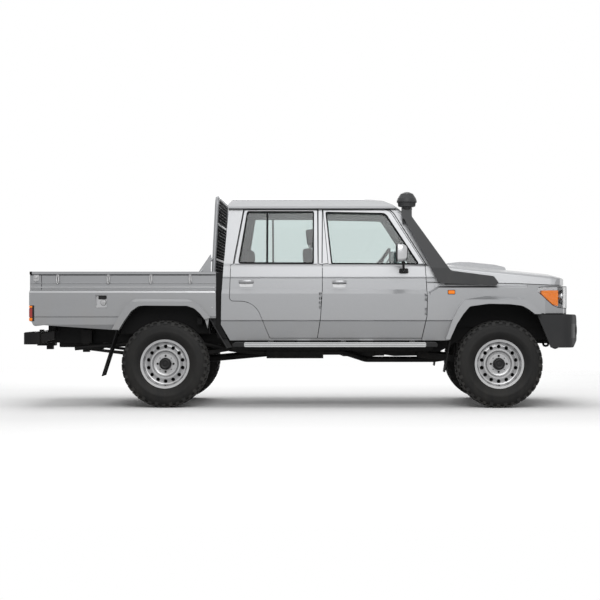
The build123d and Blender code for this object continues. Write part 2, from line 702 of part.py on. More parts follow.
def headboard():
    frame = pipe([(-847, 700, 1290), (-811, 690, 2013), (-811, -690, 2013), (-847, -700, 1290)], 19, 75)
    for z, x in [(1420, -841), (1760, -824)]:
        frame += rod((x, -697, z), (x, 697, z), 14)
    for i in range(-5, 6):
        frame += rod((-846, i * 110, 1290), (-811, i * 110, 2013), 8)
    for s in (1, -1):
        frame += rod((-975, s * 765, BED_RAIL_TOP - 10), (-842, s * 700, 1440), 12)
    frame -= box(-1100, -700, -745, 745, 1200, 1290)
    for s in (1, -1):
        y0, y1 = sorted((s * 745, s * 850))
        frame -= box(-1100, -700, y0, y1, 1200, BED_RAIL_TOP)
    return frame


def rear_bumper():
    bar = box(-2655, -2492, -790, 790, 600, 712)
    bar = fillet(bar.edges().filter_by(Axis.Z), 30)
    for s in (1, -1):
        y0, y1 = sorted((s * 690, s * 760))
        bar += along_y([(-2500, 612), (-2365, 650), (-2365, 728), (-2500, 700)], y0, y1)
    bar += box(-2655, -2480, -70, 70, 570, 600)
    return bar - Pos(-2590, 0, 600) * Cylinder(16, 300)


def mud_flaps():
    front = along_y([(1440, 787), (1362, 340), (1353, 340), (1405, 640), (1422.9, 787)], 690, 905)
    front -= box(1300, 1500, 786 + 2, 950, 632, 900)
    rear = along_y([(-1750, 737.2), (-1890, 300), (-1900, 300), (-1760, 737.6)], 600, 860)
    return group(pair(front), pair(rear))


def rear_guard_left():
    """Stay with a turned edge, between the tub's lower front corner and the rear wheel."""
    top, y0, y1 = 854, 777, 840
    lower = [(-664, 573), (-712, 566), (-874, 846)]
    plate = along_y([(-858, top), (-820, top), (-811, 833)] + lower, y0, y0 + 11)
    edge = along_y([(-858, top), (-850, top), (-864, 840), (-703, 567), (-712, 566), (-874, 846)], y0, y1)
    cap = box(-858, -820, y0, y1, top - 8, top)
    return plate + edge + cap


def side_step_left():
    step = along_y([(-541, 580), (-541, 624), (1180, 624), (1180, 580)], 800, 925, 12)
    for x in (-300, 400, 1060):
        step += box(x - 25, x + 25, 640, 805, 590, 612)
        step += box(x - 25, x + 25, 640, 664, 590, 640)
    return step


def dashboard():
    outline = [
        (1196, 1000), (1196, 1335), (1100, 1338, 30), (905, 1300, 50), (880, 1220, 30),
        (930, 1080, 30), (1060, 1000),
    ]
    return along_y(outline, -WALL_INNER_Y + 3, WALL_INNER_Y - 3)


def steering_wheel():
    """Rim, boss, spokes and column, ahead of the right-hand seat."""
    axis = Vector(-0.82, 0, 0.572)
    centre = Vector(745, -370, 1372)
    plane = Plane(origin=centre, z_dir=axis, x_dir=(0, 1, 0))
    wheel = plane * Torus(180, 15)
    wheel += plane * Cylinder(55, 40)
    for a in (90, 210, 330):
        tip = plane.from_local_coords(Vector(172 * math.cos(math.radians(a)), 172 * math.sin(math.radians(a)), 0))
        wheel += rod(tuple(centre), tuple(tip), 11)
    end = centre - axis * 215
    column = rod(tuple(centre), tuple(end), 32)
    return wheel + (column - dashboard())


def seat_left():
    cushion = along_y([(120, 905), (120, 1050, 60), (600, 1040, 60), (650, 905, 20)], 130, 630, 20)
    back = along_y([(60, 960), (150, 980, 30), (90, 1610, 50), (-30, 1600, 50), (-20, 960)], 140, 620, 20)
    base = box(150, 570, 160, 600, FLOOR_TOP, 910)
    head = along_y([(-10, 1640, 30), (60, 1640, 30), (85, 1790, 30), (0, 1790, 30)], 250, 510)
    posts = rod((32, 320, 1590), (38, 320, 1660), 7) + rod((32, 440, 1590), (38, 440, 1660), 7)
    return cushion + back + base + head + posts


def rear_seat():
    cushion = along_y([(-560, 890), (-560, 1030, 20), (-110, 1060, 60), (-70, 890, 30)], -640, 640, 20)
    back = along_y([(-585, 1000), (-480, 1000, 30), (-545, 1600, 40), (-640, 1600, 40)], -640, 640, 20)
    base = box(-540, -160, -600, 600, FLOOR_TOP, 900)
    return cushion + back + base


def exhaust():
    """Down pipe from the engine, then the silencer, on the right of the frame."""
    run = [(1500, -250, 600), (1500, -250, 470), (1300, -285, 442), (620, -285, 442), (400, -500, 520), (200, -500, 520)]
    return pipe(run, 28, 60) + rod((205, -500, 520), (-345, -500, 520), 62)


def fuel_tank():
    tank = box(-2390, -1960, -318, 318, 560, 731)
    return fillet(tank.edges().filter_by(Axis.X), 30)


NODES = {}


def add(name, piece):
    NODES[name] = piece


def build():
    add("ladder_frame", ladder_frame())
    add("engine_block", engine_block())
    add("gearbox", gearbox())
    add("rear_axle", rear_axle())
    add("rear_springs", pair(leaf_spring_left()))
    add("front_axle", front_axle())
    add("front_suspension", front_suspension())
    add("propeller_shafts", prop_shafts())
    add("tie_rod", tie_rod())
    knuckle = knuckle_left()
    add("knuckle_left", knuckle)
    add("knuckle_right", other_side(knuckle))
    add("cab_floor", cab_floor())
    add("body_sides", pair(body_side_left()))
    add("roof_panel", roof_shell())
    add("cab_back_wall", cab_back())
    add("cab_glass", group(windscreen_pane(), rear_window_pane()))
    add("cowl_panel", cowl_panel())
    for name, outline, window, hinge_x in [
        ("front", FRONT_DOOR, FRONT_WINDOW, FRONT_HINGE_X),
        ("rear", REAR_DOOR, REAR_WINDOW_DOOR, REAR_HINGE_X),
    ]:
        door = door_left(outline, window, hinge_x)
        glass = door_glass_left(window)
        add(name + "_door_left", door)
        add(name + "_door_right", other_side(door))
        add(name + "_door_glass_left", glass)
        add(name + "_door_glass_right", other_side(glass))
    add("front_wings", pair(wing_left()))
    add("inner_wings", pair(inner_wing_left()))
    add("bonnet", bonnet())
    add("grille", grille())
    add("headlamps", pair(headlamp_left()))
    add("radiator", radiator())
    add("front_bumper", front_bumper())
    add("snorkel", snorkel())
    mirror_piece = mirror_left()
    add("mirror_left", mirror_piece)
    add("mirror_right", other_side(mirror_piece))
    add("bed_floor", bed_floor())
    side = bed_side_left()
    add("bed_sides", group(side, other_side(side) - filler_pocket()))
    add("tailgate", tailgate())
    add("headboard", headboard())
    add("tail_lamps", pair(tail_lamp_left()))
    add("rear_bumper", rear_bumper())
    add("mud_flaps", mud_flaps())
    add("rear_guards", pair(rear_guard_left()))
    add("side_steps", pair(side_step_left()))
    add("dashboard", dashboard())
    add("steering_wheel", steering_wheel())
    add("front_seats", pair(seat_left()))
    add("rear_seat", rear_seat())
    add("exhaust", exhaust())
    add("fuel_tank", fuel_tank())
    for name, x, y, side in WHEELS:
        rim = turned_y(RIM_BARREL, x, side * y, HUB_Z, side)
        disc = turned_y(RIM_DISC, x, side * y, HUB_Z, side)
        for i in range(14):
            a = math.radians(90 + i * 360 / 14)
            spot = (x + 166 * math.cos(a), HUB_Z + 166 * math.sin(a))
            disc -= rod((spot[0], side * (y - 20), spot[1]), (spot[0], side * (y + 80), spot[1]), 14)
        rim = rim + disc + turned_y(RIM_HUB, x, side * y, HUB_Z, side)
        add("rim_" + name, rim)
        add("tyre_" + name, turned_y(TYRE, x, side * y, HUB_Z, side))


build()
os.makedirs("parts", exist_ok=True)
for node_name, node in NODES.items():
    export_step(node, "parts/" + node_name + ".step")
    print(node_name, round(node.volume / 1e6, 2), len(node.solids()))
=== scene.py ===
import bpy
import bmesh
import math
from mathutils import Matrix, Vector


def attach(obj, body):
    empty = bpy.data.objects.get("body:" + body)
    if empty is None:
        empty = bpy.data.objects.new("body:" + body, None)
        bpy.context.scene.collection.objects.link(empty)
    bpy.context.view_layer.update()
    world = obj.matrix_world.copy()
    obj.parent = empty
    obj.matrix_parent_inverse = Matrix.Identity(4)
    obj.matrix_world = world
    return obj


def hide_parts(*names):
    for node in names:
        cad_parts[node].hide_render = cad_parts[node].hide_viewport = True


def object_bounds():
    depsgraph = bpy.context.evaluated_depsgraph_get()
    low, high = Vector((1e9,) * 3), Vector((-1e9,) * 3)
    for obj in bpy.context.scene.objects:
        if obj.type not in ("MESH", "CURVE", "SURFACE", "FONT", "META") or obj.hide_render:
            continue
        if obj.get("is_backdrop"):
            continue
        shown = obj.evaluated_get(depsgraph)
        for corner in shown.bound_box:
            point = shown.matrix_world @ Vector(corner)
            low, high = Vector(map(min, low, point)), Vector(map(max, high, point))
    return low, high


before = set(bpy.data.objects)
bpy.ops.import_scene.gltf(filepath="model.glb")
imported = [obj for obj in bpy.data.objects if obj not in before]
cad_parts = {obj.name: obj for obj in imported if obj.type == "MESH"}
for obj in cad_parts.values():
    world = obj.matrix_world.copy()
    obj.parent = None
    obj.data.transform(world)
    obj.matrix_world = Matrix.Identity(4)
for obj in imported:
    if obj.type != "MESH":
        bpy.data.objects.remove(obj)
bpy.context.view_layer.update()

# Sizes are in millimetres in the truck's frame: X forward, Y left, Z up.
MM = 0.001
HUB_Z = 415.5
WHEELS = [
    ("front_left", 1880, 757.5, 1), ("front_right", 1880, 757.5, -1),
    ("rear_left", -1300, 730, 1), ("rear_right", -1300, 730, -1),
]
SIDES = [("left", 1), ("right", -1)]
# Half width and height, up the outside of the cab
CAB_WALL = [
    (826, 640), (844, 818), (839, 823), (848, 834), (848, 1085), (822, 1125), (817, 1230),
    (811, 1235), (811, 1240), (816, 1245), (806, 1345), (785, 1372), (705, 1893), (703, 1905),
]
# Door outlines as x and z, windows as x, z and corner radius
FRONT_DOOR = [
    (154, 664), (184, 855), (201, 1118), (201, 1365), (256, 1372), (206, 1887), (790, 1887),
    (838, 1875), (870, 1845), (1176, 1352), (1194, 1060), (1190, 870), (1142, 664),
]
REAR_DOOR = [
    (-684, 1018), (-600, 1016), (-443, 1000), (-370, 900), (-300, 672), (148, 664), (178, 855),
    (195, 1118), (195, 1357), (152, 1372), (147, 1887), (-548, 1887), (-641, 1372), (-674, 1357),
]
FRONT_WINDOW = [(232, 1866, 12), (800, 1855, 70), (1118, 1368, 14), (287, 1372, 15)]
REAR_WINDOW = [(-520, 1872, 20), (112, 1872, 12), (112, 1376, 12), (-601, 1378, 20)]


def along(points, value):
    """Height of a broken line at one place."""
    for (a, p), (b, q) in zip(points, points[1:]):
        if value <= b:
            return p + (q - p) * max(0.0, (value - a) / (b - a))
    return points[-1][1]


def wall_y(z):
    return along([(height, half) for half, height in CAB_WALL], z)


# Shapes are lists of points and faces

def joined(*shapes):
    points, faces = [], []
    for some, more in shapes:
        start = len(points)
        points += some
        faces += [tuple(i + start for i in face) for face in more]
    return points, faces


def prism(outline, low, high, place):
    n = len(outline)
    points = [place(a, b, c) for c in (low, high) for a, b in outline]
    faces = [tuple(range(n)), tuple(range(2 * n - 1, n - 1, -1))]
    faces += [(i, (i + 1) % n, (i + 1) % n + n, i + n) for i in range(n)]
    return points, faces


def along_x(outline, x0, x1):
    return prism(outline, x0, x1, lambda y, z, x: (x, y, z))


def along_y(outline, y0, y1):
    return prism(outline, y0, y1, lambda x, z, y: (x, y, z))


def along_z(outline, z0, z1):
    return prism(outline, z0, z1, lambda x, y, z: (x, y, z))


def box(x0, x1, y0, y1, z0, z1):
    return along_z([(x0, y0), (x1, y0), (x1, y1), (x0, y1)], z0, z1)


def oblong(a0, a1, b0, b1, radius, steps=4):
    return rounded([(a0, b0), (a1, b0), (a1, b1), (a0, b1)], radius, steps)


def rounded(outline, radius=0, steps=4):
    result, n = [], len(outline)
    for i, corner in enumerate(outline):
        r = corner[2] if len(corner) > 2 else radius
        here = Vector(corner[:2])
        before = Vector(outline[i - 1][:2]) - here
        after = Vector(outline[(i + 1) % n][:2]) - here
        reach = min(r / math.tan(before.angle(after) / 2), before.length / 2, after.length / 2)
        start = here + before.normalized() * reach
        end = here + after.normalized() * reach
        for k in range(steps + 1):
            t = k / steps
            result.append(tuple(start * (1 - t) ** 2 + here * 2 * t * (1 - t) + end * t * t))
    return result


def disc(radius, height, start=0):
    """Profile of a plain disc for the turned shapes."""
    return [(0, start), (radius, start), (radius, height), (0, height)]


def polar(radius, turn):
    """Spot on a circle, with the angle as a share of a whole turn."""
    a = 2 * math.pi * turn
    return radius * math.cos(a), radius * math.sin(a)


def turned(profile, place, steps=48):
    """Closed profile of radius and distance, turned about an axis."""
    n = len(profile)
    points, faces = [], []
    for k in range(steps):
        points += [place(*polar(r, k / steps), w) for r, w in profile]
        here, ahead = k * n, (k + 1) % steps * n
        faces += [(here + i, here + (i + 1) % n, ahead + (i + 1) % n, ahead + i) for i in range(n)]
    return points, faces


def turned_y(profile, x, y, z, side=1, steps=48):
    return turned(profile, lambda a, b, w: (x + a, y + side * w, z + b), steps)


def turned_x(profile, x, y, z, steps=32):
    return turned(profile, lambda a, b, w: (x + w, y + a, z + b), steps)


def turned_z(profile, x, y, z, steps=48):
    return turned(profile, lambda a, b, w: (x + a, y + b, z + w), steps)


def loft(rings, capped=True):
    n = len(rings[0])
    points = [p for ring in rings for p in ring]
    last = (len(rings) - 1) * n
    faces = [(k + i, k + (i + 1) % n, k + n + (i + 1) % n, k + n + i)
             for k in range(0, last, n) for i in range(n)]
    if capped:
        faces += [tuple(range(n)), tuple(range(last + n - 1, last - 1, -1))]
    return points, faces


def mirrored(shape, side):
    return [(x, y * side, z) for x, y, z in shape[0]], shape[1]


def both(*shapes):
    """The shapes and their mirror image as one."""
    shape = joined(*shapes)
    return joined(shape, mirrored(shape, -1))


def ribbon(line, width, proud, depth, closed=False, wall=wall_y, step=70):
    """Strip of even width along a line of x and z, on the curved side wall."""
    line = [Vector(p[:2]) for p in line]
    ends = len(line) if closed else len(line) - 1
    spots = []
    for i in range(ends):
        a, b = line[i], line[(i + 1) % len(line)]
        count = max(1, math.ceil((b - a).length / step))
        spots += [a.lerp(b, k / count) for k in range(count)]
    if not closed:
        spots.append(line[-1])
    rings, m = [], len(spots)
    for i, spot in enumerate(spots):
        back = spots[i - 1] if closed or i else spot
        ahead = spots[(i + 1) % m] if closed or i < m - 1 else spot
        d = (ahead - spot).normalized() + (spot - back).normalized()
        d.normalize()
        edge = (ahead - spot).normalized() if ahead != spot else (spot - back).normalized()
        across = Vector((-d.y, d.x)) / max(0.4, abs(d.dot(edge)))
        p, q = spot - across * width / 2, spot + across * width / 2
        corners = [(p, 0), (q, 0), (q, depth), (p, depth)]
        rings.append([(c.x, wall(c.y) + proud - off, c.y) for c, off in corners])
    if closed:
        return loft(rings + rings[:1], False)
    return loft(rings)


# Making pieces

def in_scene(name, data):
    piece = bpy.data.objects.new(name, data)
    bpy.context.scene.collection.objects.link(piece)
    return piece


def dressed(piece, look, body, slot):
    piece.data.materials.append(look)
    slot = slot or USUAL_SLOT[look.name]
    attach(piece, body)
    return piece


def smooth_mesh(work, mesh):
    for face in work.faces:
        face.smooth = True
    work.to_mesh(mesh)
    work.free()


def make(name, shape, look, body="chassis", edge=0.0, steps=2, sharp=32, slot=None):
    mesh = bpy.data.meshes.new(name)
    mesh.from_pydata([(x * MM, y * MM, z * MM) for x, y, z in shape[0]], [], shape[1])
    work = bmesh.new()
    work.from_mesh(mesh)
    bmesh.ops.remove_doubles(work, verts=work.verts, dist=1e-6)
    bmesh.ops.recalc_face_normals(work, faces=work.faces)
    smooth_mesh(work, mesh)
    piece = in_scene(name, mesh)
    if edge:
        softened = piece.modifiers.new("softened edges", "BEVEL")
        softened.width = edge * MM
        softened.segments = steps
        softened.limit_method = "ANGLE"
        softened.angle_limit = math.radians(30)
        softened.harden_normals = True
    else:
        mesh.set_sharp_from_angle(angle=math.radians(sharp))
    return dressed(piece, look, body, slot)


def on_side(side, name, shape, look, body="chassis", **more):
    """Piece drawn on the left, for either side; its name ends with the side."""
    return make(name + "_" + side[0], mirrored(shape, side[1]), look, body, **more)


def door_body(end, side):
    return "%s_door_%s_body" % (end, side[0])


def tubes(name, lines, radius, look, body="chassis", smooth=False, closed=False, sides=3, slot=None):
    data = bpy.data.curves.new(name, "CURVE")
    data.dimensions = "3D"
    data.bevel_depth = radius * MM
    data.bevel_resolution = sides
    data.use_fill_caps = True
    data.resolution_u = 6
    for line in lines:
        spline = data.splines.new("NURBS" if smooth else "POLY")
        spline.points.add(len(line) - 1)
        for point, (x, y, z) in zip(spline.points, line):
            point.co = (x * MM, y * MM, z * MM, 1)
        if smooth:
            spline.order_u = 3
            spline.use_endpoint_u = True
        spline.use_cyclic_u = closed
    return dressed(in_scene(name, data), look, body, slot)


# Shared effects for the finishes

def add_node(tree, kind, **settings):
    made = tree.nodes.new("ShaderNode" + kind)
    for key, value in settings.items():
        setattr(made, key, value)
    return made


def feed(tree, socket, source):
    if isinstance(source, (int, float)):
        socket.default_value = source
    elif isinstance(source, tuple):
        socket.default_value = source + (1,) if len(source) == 3 and socket.type == "RGBA" else source
    else:
        tree.links.new(source, socket)


def maths(tree, operation, a, b, clamp=False):
    made = add_node(tree, "Math", operation=operation, use_clamp=clamp)
    feed(tree, made.inputs[0], a)
    feed(tree, made.inputs[1], b)
    return made.outputs[0]


def plus(tree, a, b, clamp=False):
    return maths(tree, "ADD", a, b, clamp)


def minus(tree, a, b):
    return maths(tree, "SUBTRACT", a, b)


def times(tree, a, b, clamp=False):
    return maths(tree, "MULTIPLY", a, b, clamp)


def mixed(tree, share, a, b):
    made = add_node(tree, "Mix", data_type="RGBA")
    feed(tree, made.inputs["Factor"], share)
    feed(tree, made.inputs[6], a)
    feed(tree, made.inputs[7], b)
    return made.outputs[2]


def effect(name, outputs, build, **given):
    """Node group with numbers in and out; build makes the outputs from the inputs."""
    tree = bpy.data.node_groups.new(name, "ShaderNodeTree")
    for label, value in given.items():
        socket = tree.interface.new_socket(label, in_out="INPUT", socket_type="NodeSocketFloat")
        socket.default_value = value
    for label in outputs:
        tree.interface.new_socket(label, in_out="OUTPUT", socket_type="NodeSocketFloat")
    start, end = tree.nodes.new("NodeGroupInput"), tree.nodes.new("NodeGroupOutput")
    for label, source in zip(outputs, build(tree, start.outputs)):
        feed(tree, end.inputs[label], source)
    return tree


def placed(tree):
    return add_node(tree, "TexCoord").outputs["Object"]


def stretched(tree, scale):
    made = add_node(tree, "Mapping")
    tree.links.new(placed(tree), made.inputs["Vector"])
    made.inputs["Scale"].default_value = scale
    return made.outputs[0]


def split(tree, kind, source):
    made = add_node(tree, "Separate" + kind)
    tree.links.new(source, made.inputs[0])
    return made.outputs


def noise(tree, scale, detail=3.0, rough=0.5, vector=None):
    made = add_node(tree, "TexNoise")
    feed(tree, made.inputs["Vector"], vector or placed(tree))
    feed(tree, made.inputs["Scale"], scale)
    feed(tree, made.inputs["Detail"], detail)
    feed(tree, made.inputs["Roughness"], rough)
    return made.outputs["Fac"]


def moulded_grain(tree, given):
    fine = noise(tree, given["Scale"], 4.0, 0.65)
    broad = noise(tree, given["Patches"], 3.0, 0.6)
    return fine, plus(tree, times(tree, fine, 0.45), times(tree, broad, 0.55))


def paint_flakes(tree, given):
    cells = add_node(tree, "TexVoronoi")
    feed(tree, cells.inputs["Vector"], placed(tree))
    feed(tree, cells.inputs["Scale"], given["Scale"])
    return split(tree, "Color", cells.outputs["Color"])[:2]


def road_dust(tree, given):
    """More dust low down, broken into patches and short runs."""
    drop = minus(tree, given["High"], split(tree, "XYZ", placed(tree))[2])
    height = maths(tree, "DIVIDE", drop, minus(tree, given["High"], given["Low"]), True)
    patch = noise(tree, given["Patches"], 6.0, 0.62, stretched(tree, (1, 1, 0.35)))
    return [times(tree, height, times(tree, minus(tree, patch, 0.36), 2.6, True))]


def worn_edges(tree, given):
    """Marks where a softened normal leaves the plain one, broken into chips."""
    soft = add_node(tree, "Bevel", samples=4)
    feed(tree, soft.inputs["Radius"], given["Reach"])
    compare = add_node(tree, "VectorMath", operation="DOT_PRODUCT")
    feed(tree, compare.inputs[0], soft.outputs[0])
    feed(tree, compare.inputs[1], add_node(tree, "NewGeometry").outputs["Normal"])
    edge = times(tree, minus(tree, 0.985, compare.outputs["Value"]), 9.0, True)
    chips = times(tree, minus(tree, noise(tree, given["Patches"], 5.0, 0.6), 0.42), 5.0, True)
    return [times(tree, edge, chips)]


def cloth_weave(tree, given):
    x, y, z = split(tree, "XYZ", placed(tree))
    warp, weft = [maths(tree, "SINE", times(tree, line, given["Scale"]), 0.0)
                  for line in (plus(tree, y, times(tree, x, 0.2)), plus(tree, x, z))]
    cross = times(tree, warp, weft)
    tone = plus(tree, times(tree, cross, 0.25), noise(tree, given["Patches"], 4.0, 0.6))
    return plus(tree, times(tree, cross, 0.5), 0.5), tone


def brushed_lines(tree, given):
    fine = noise(tree, given["Scale"], 3.0, 0.6, stretched(tree, (0.02, 1, 1)))
    broad = noise(tree, given["Patches"], 3.0, 0.6)
    return fine, times(tree, plus(tree, fine, broad), 0.5)


GRAIN = effect("moulded grain", ["Height", "Tint"], moulded_grain, Scale=900.0, Patches=6.0)
FLAKES = effect("paint flakes", ["Height", "Tint"], paint_flakes, Scale=1500.0)
DUST = effect("road dust", ["Mask"], road_dust, Low=0.3, High=1.0, Patches=9.0)
WORN = effect("worn edges", ["Mask"], worn_edges, Reach=0.003, Patches=40.0)
WEAVE = effect("cloth weave", ["Height", "Tint"], cloth_weave, Scale=900.0, Patches=12.0)
BRUSHED = effect("brushed lines", ["Height", "Tint"], brushed_lines, Scale=400.0, Patches=8.0)
DUST_TONE = (0.30, 0.27, 0.22)
# How far roughness swings with the tint, and what dust adds to it
ROUGH_SWING = 0.12
DUST_ROUGH = 0.5


def use(tree, group, **values):
    made = tree.nodes.new("ShaderNodeGroup")
    made.node_tree = group
    for socket in made.inputs:
        socket.default_value = values[socket.name]
    return made.outputs


def new_material(name):
    material = bpy.data.materials.new(name)
    material.use_nodes = True
    tree = material.node_tree
    shader = tree.nodes["Principled BSDF"].inputs

    def apply(**sources):
        for label, source in sources.items():
            feed(tree, shader[label.replace("_", " ")], source)
    return material, tree, apply


def finish(name, colour, rough, metal=0.0, group=GRAIN, scale=900.0, patches=6.0, depth=0.0004,
           tint=0.25, dust=None, worn=None, coat=0.0, coat_rough=0.05, bump=0.35, specular=0.5):
    """One finish: colour and roughness that vary, a fine relief, worn edges and dust."""
    material, tree, apply = new_material(name)
    detail = use(tree, group, Scale=scale, Patches=patches)
    dark = tuple(c * (1 - tint) for c in colour)
    light = tuple(min(1.0, c * (1 + tint)) for c in colour)
    tone = mixed(tree, detail["Tint"], dark, light)
    roughness = plus(tree, rough - ROUGH_SWING / 2, times(tree, detail["Tint"], ROUGH_SWING))
    metallic = metal
    if worn:
        reach, shade = worn
        tone = mixed(tree, use(tree, WORN, Reach=reach, Patches=45.0)["Mask"], tone, shade)
    if dust:
        low, high, amount = dust
        mask = times(tree, use(tree, DUST, Low=low, High=high, Patches=9.0)["Mask"], amount)
        tone = mixed(tree, mask, tone, DUST_TONE)
        roughness = plus(tree, roughness, times(tree, mask, DUST_ROUGH), True)
        if metal:
            metallic = times(tree, minus(tree, 1.0, mask), metal)
    relief = add_node(tree, "Bump")
    for label, source in [("Strength", bump), ("Distance", depth), ("Height", detail["Height"])]:
        feed(tree, relief.inputs[label], source)
    apply(Base_Color=tone, Roughness=roughness, Metallic=metallic, Normal=relief.outputs[0],
          Coat_Weight=coat, Coat_Roughness=coat_rough, Specular_IOR_Level=specular)
    return material


def clear_finish(name, colour, rough=0.0, ior=1.45):
    material, tree, apply = new_material(name)
    film = use(tree, GRAIN, Scale=30.0, Patches=3.0)["Tint"]
    apply(Base_Color=mixed(tree, film, tuple(c * 0.97 for c in colour), colour),
          Roughness=plus(tree, rough, times(tree, film, 0.03)), Transmission_Weight=1.0, IOR=ior)
    return material


# Dust is given as low, high and amount, wear as reach and colour
BODY_PAINT = dict(group=FLAKES, scale=1600, depth=0.00003, bump=0.25)
LAMP_RIBS = dict(group=BRUSHED, scale=160, patches=20, depth=0.001, bump=0.6)
paint = finish("silver paint", (0.32, 0.325, 0.335), 0.34, metal=0.5, tint=0.06,
               dust=(0.45, 1.0, 0.22), coat=0.45, coat_rough=0.04, **BODY_PAINT)
bed_paint = finish("tub paint", (0.29, 0.295, 0.305), 0.38, metal=0.45, tint=0.07,
                   dust=(0.6, 1.25, 0.25), worn=(0.004, (0.2, 0.2, 0.2)), coat=0.3, coat_rough=0.08,
                   **BODY_PAINT)
# Lighter copy of the tub paint: painted highlight for the ledge strips
ledge_highlight_paint = finish("ledge highlight paint", (0.46, 0.465, 0.475), 0.32, metal=0.5, tint=0.06,
                     dust=(0.6, 1.25, 0.15), coat=0.4, coat_rough=0.06, **BODY_PAINT)
wheel_paint = finish("wheel paint", (0.47, 0.472, 0.48), 0.34, metal=0.6, group=FLAKES, scale=1200,
                     depth=0.00004, tint=0.1, dust=(0.1, 0.75, 0.2),
                     worn=(0.003, (0.13, 0.125, 0.12)), coat=0.2, coat_rough=0.1, bump=0.25)
frame_black = finish("frame paint", (0.008, 0.008, 0.0085), 0.5, scale=260, patches=9, depth=0.0006,
                     tint=0.3, dust=(0.2, 0.8, 0.10), worn=(0.004, (0.05, 0.04, 0.035)), specular=0.15)
cast = finish("cast iron", (0.07, 0.07, 0.07), 0.6, metal=0.5, scale=350, patches=12, depth=0.001,
              tint=0.35, dust=(0.3, 1.2, 0.2), worn=(0.004, (0.18, 0.16, 0.15)), specular=0.3)
steel = finish("plain steel", (0.40, 0.40, 0.405), 0.33, metal=0.95, group=BRUSHED, scale=500, patches=9,
               depth=0.0002, tint=0.2, dust=(0.2, 0.9, 0.3))
alloy = finish("step alloy", (0.50, 0.505, 0.51), 0.36, metal=0.7, group=BRUSHED, scale=500, patches=6,
               depth=0.0002, tint=0.12, dust=(0.3, 0.7, 0.25))
bright = finish("bright plating", (0.50, 0.505, 0.515), 0.16, metal=0.95, group=BRUSHED, scale=120,
                patches=7, depth=0.0001, tint=0.12)
bumper_black = finish("bumper plastic", (0.027, 0.0275, 0.029), 0.58, scale=1400, patches=5, depth=0.0005,
                      tint=0.3, dust=(0.4, 1.0, 0.05), worn=(0.005, (0.07, 0.07, 0.07)), specular=0.22)
snorkel_black = finish("intake plastic", (0.033, 0.034, 0.036), 0.44, scale=1700, tint=0.28,
                       dust=(1.0, 1.6, 0.06), worn=(0.005, (0.10, 0.10, 0.10)), specular=0.35)
black = finish("black plastic", (0.009, 0.009, 0.0095), 0.42, scale=1500, patches=9, depth=0.0003,
               tint=0.3, specular=0.28)
rubber = finish("rubber", (0.008, 0.008, 0.0085), 0.62, scale=800, patches=8, tint=0.3,
                dust=(0.2, 0.8, 0.06), specular=0.15)
tyre_black = finish("tyre rubber", (0.009, 0.009, 0.0092), 0.6, scale=500, patches=14, depth=0.0007,
                    tint=0.35, dust=(0.0, 1.2, 0.06), bump=0.5, specular=0.25)
tread_black = finish("tread rubber", (0.025, 0.025, 0.0252), 0.7, scale=420, patches=16, depth=0.0008,
                     tint=0.35, dust=(0.0, 1.2, 0.12), bump=0.5, specular=0.25)
trim = finish("grey trim", (0.16, 0.16, 0.165), 0.62, scale=1300, patches=5, depth=0.0005, tint=0.22)
dark_trim = finish("dark trim", (0.035, 0.035, 0.037), 0.55, scale=1300, patches=5, depth=0.0005,
                   specular=0.3)
cloth = finish("seat cloth", (0.075, 0.077, 0.082), 0.88, group=WEAVE, scale=2400, patches=9,
               depth=0.0009, tint=0.35, bump=0.6, specular=0.2)
side_cloth = finish("seat side cloth", (0.045, 0.046, 0.05), 0.85, group=WEAVE, scale=3400, patches=7,
                    depth=0.0006, tint=0.3, bump=0.5, specular=0.2)
carpet = finish("floor carpet", (0.03, 0.03, 0.031), 0.95, scale=700, patches=20, depth=0.003, tint=0.5)
glass = clear_finish("window glass", (0.70, 0.77, 0.76))
lens = clear_finish("lamp lens", (0.97, 0.97, 0.97), 0.01, 1.25)
mirror_face = finish("mirror face", (0.70, 0.71, 0.72), 0.07, metal=1.0, scale=60, patches=4,
                     depth=0.00001, tint=0.02)
amber = finish("amber lens", (0.90, 0.21, 0.004), 0.25, tint=0.2, coat=0.3, specular=0.3, **LAMP_RIBS)
red = finish("red lens", (0.36, 0.008, 0.006), 0.2, tint=0.2, coat=0.4, **LAMP_RIBS)
pale_lens = finish("pale lens", (0.60, 0.60, 0.59), 0.2, tint=0.12, coat=0.5, **LAMP_RIBS)
# The unlit amber lenses glow faintly: painted light that brightens them
amber_glow_inputs = amber.node_tree.nodes["Principled BSDF"].inputs
amber_glow_inputs["Emission Color"].default_value = (1.0, 0.22, 0.0, 1)
amber_glow_inputs["Emission Strength"].default_value = 0.22

SLOTS = {
    "silver_paint": [paint, bed_paint, ledge_highlight_paint, wheel_paint],
    "chassis_black": [frame_black],
    "bare_steel": [steel],
    "cast_metal": [alloy],
    "light_alloy": [bright, mirror_face],
    "black_plastic": [black],
    "dark_plastic": [snorkel_black],
    "rubber_sheet": [rubber],
    "tyre_rubber": [tyre_black, tread_black],
    "grey_trim": [trim, dark_trim],
    "lamp_lens": [lens, amber, pale_lens],
    "red_lens": [red],
}
USUAL_SLOT = {look.name: slot for slot, looks in SLOTS.items() for look in looks}

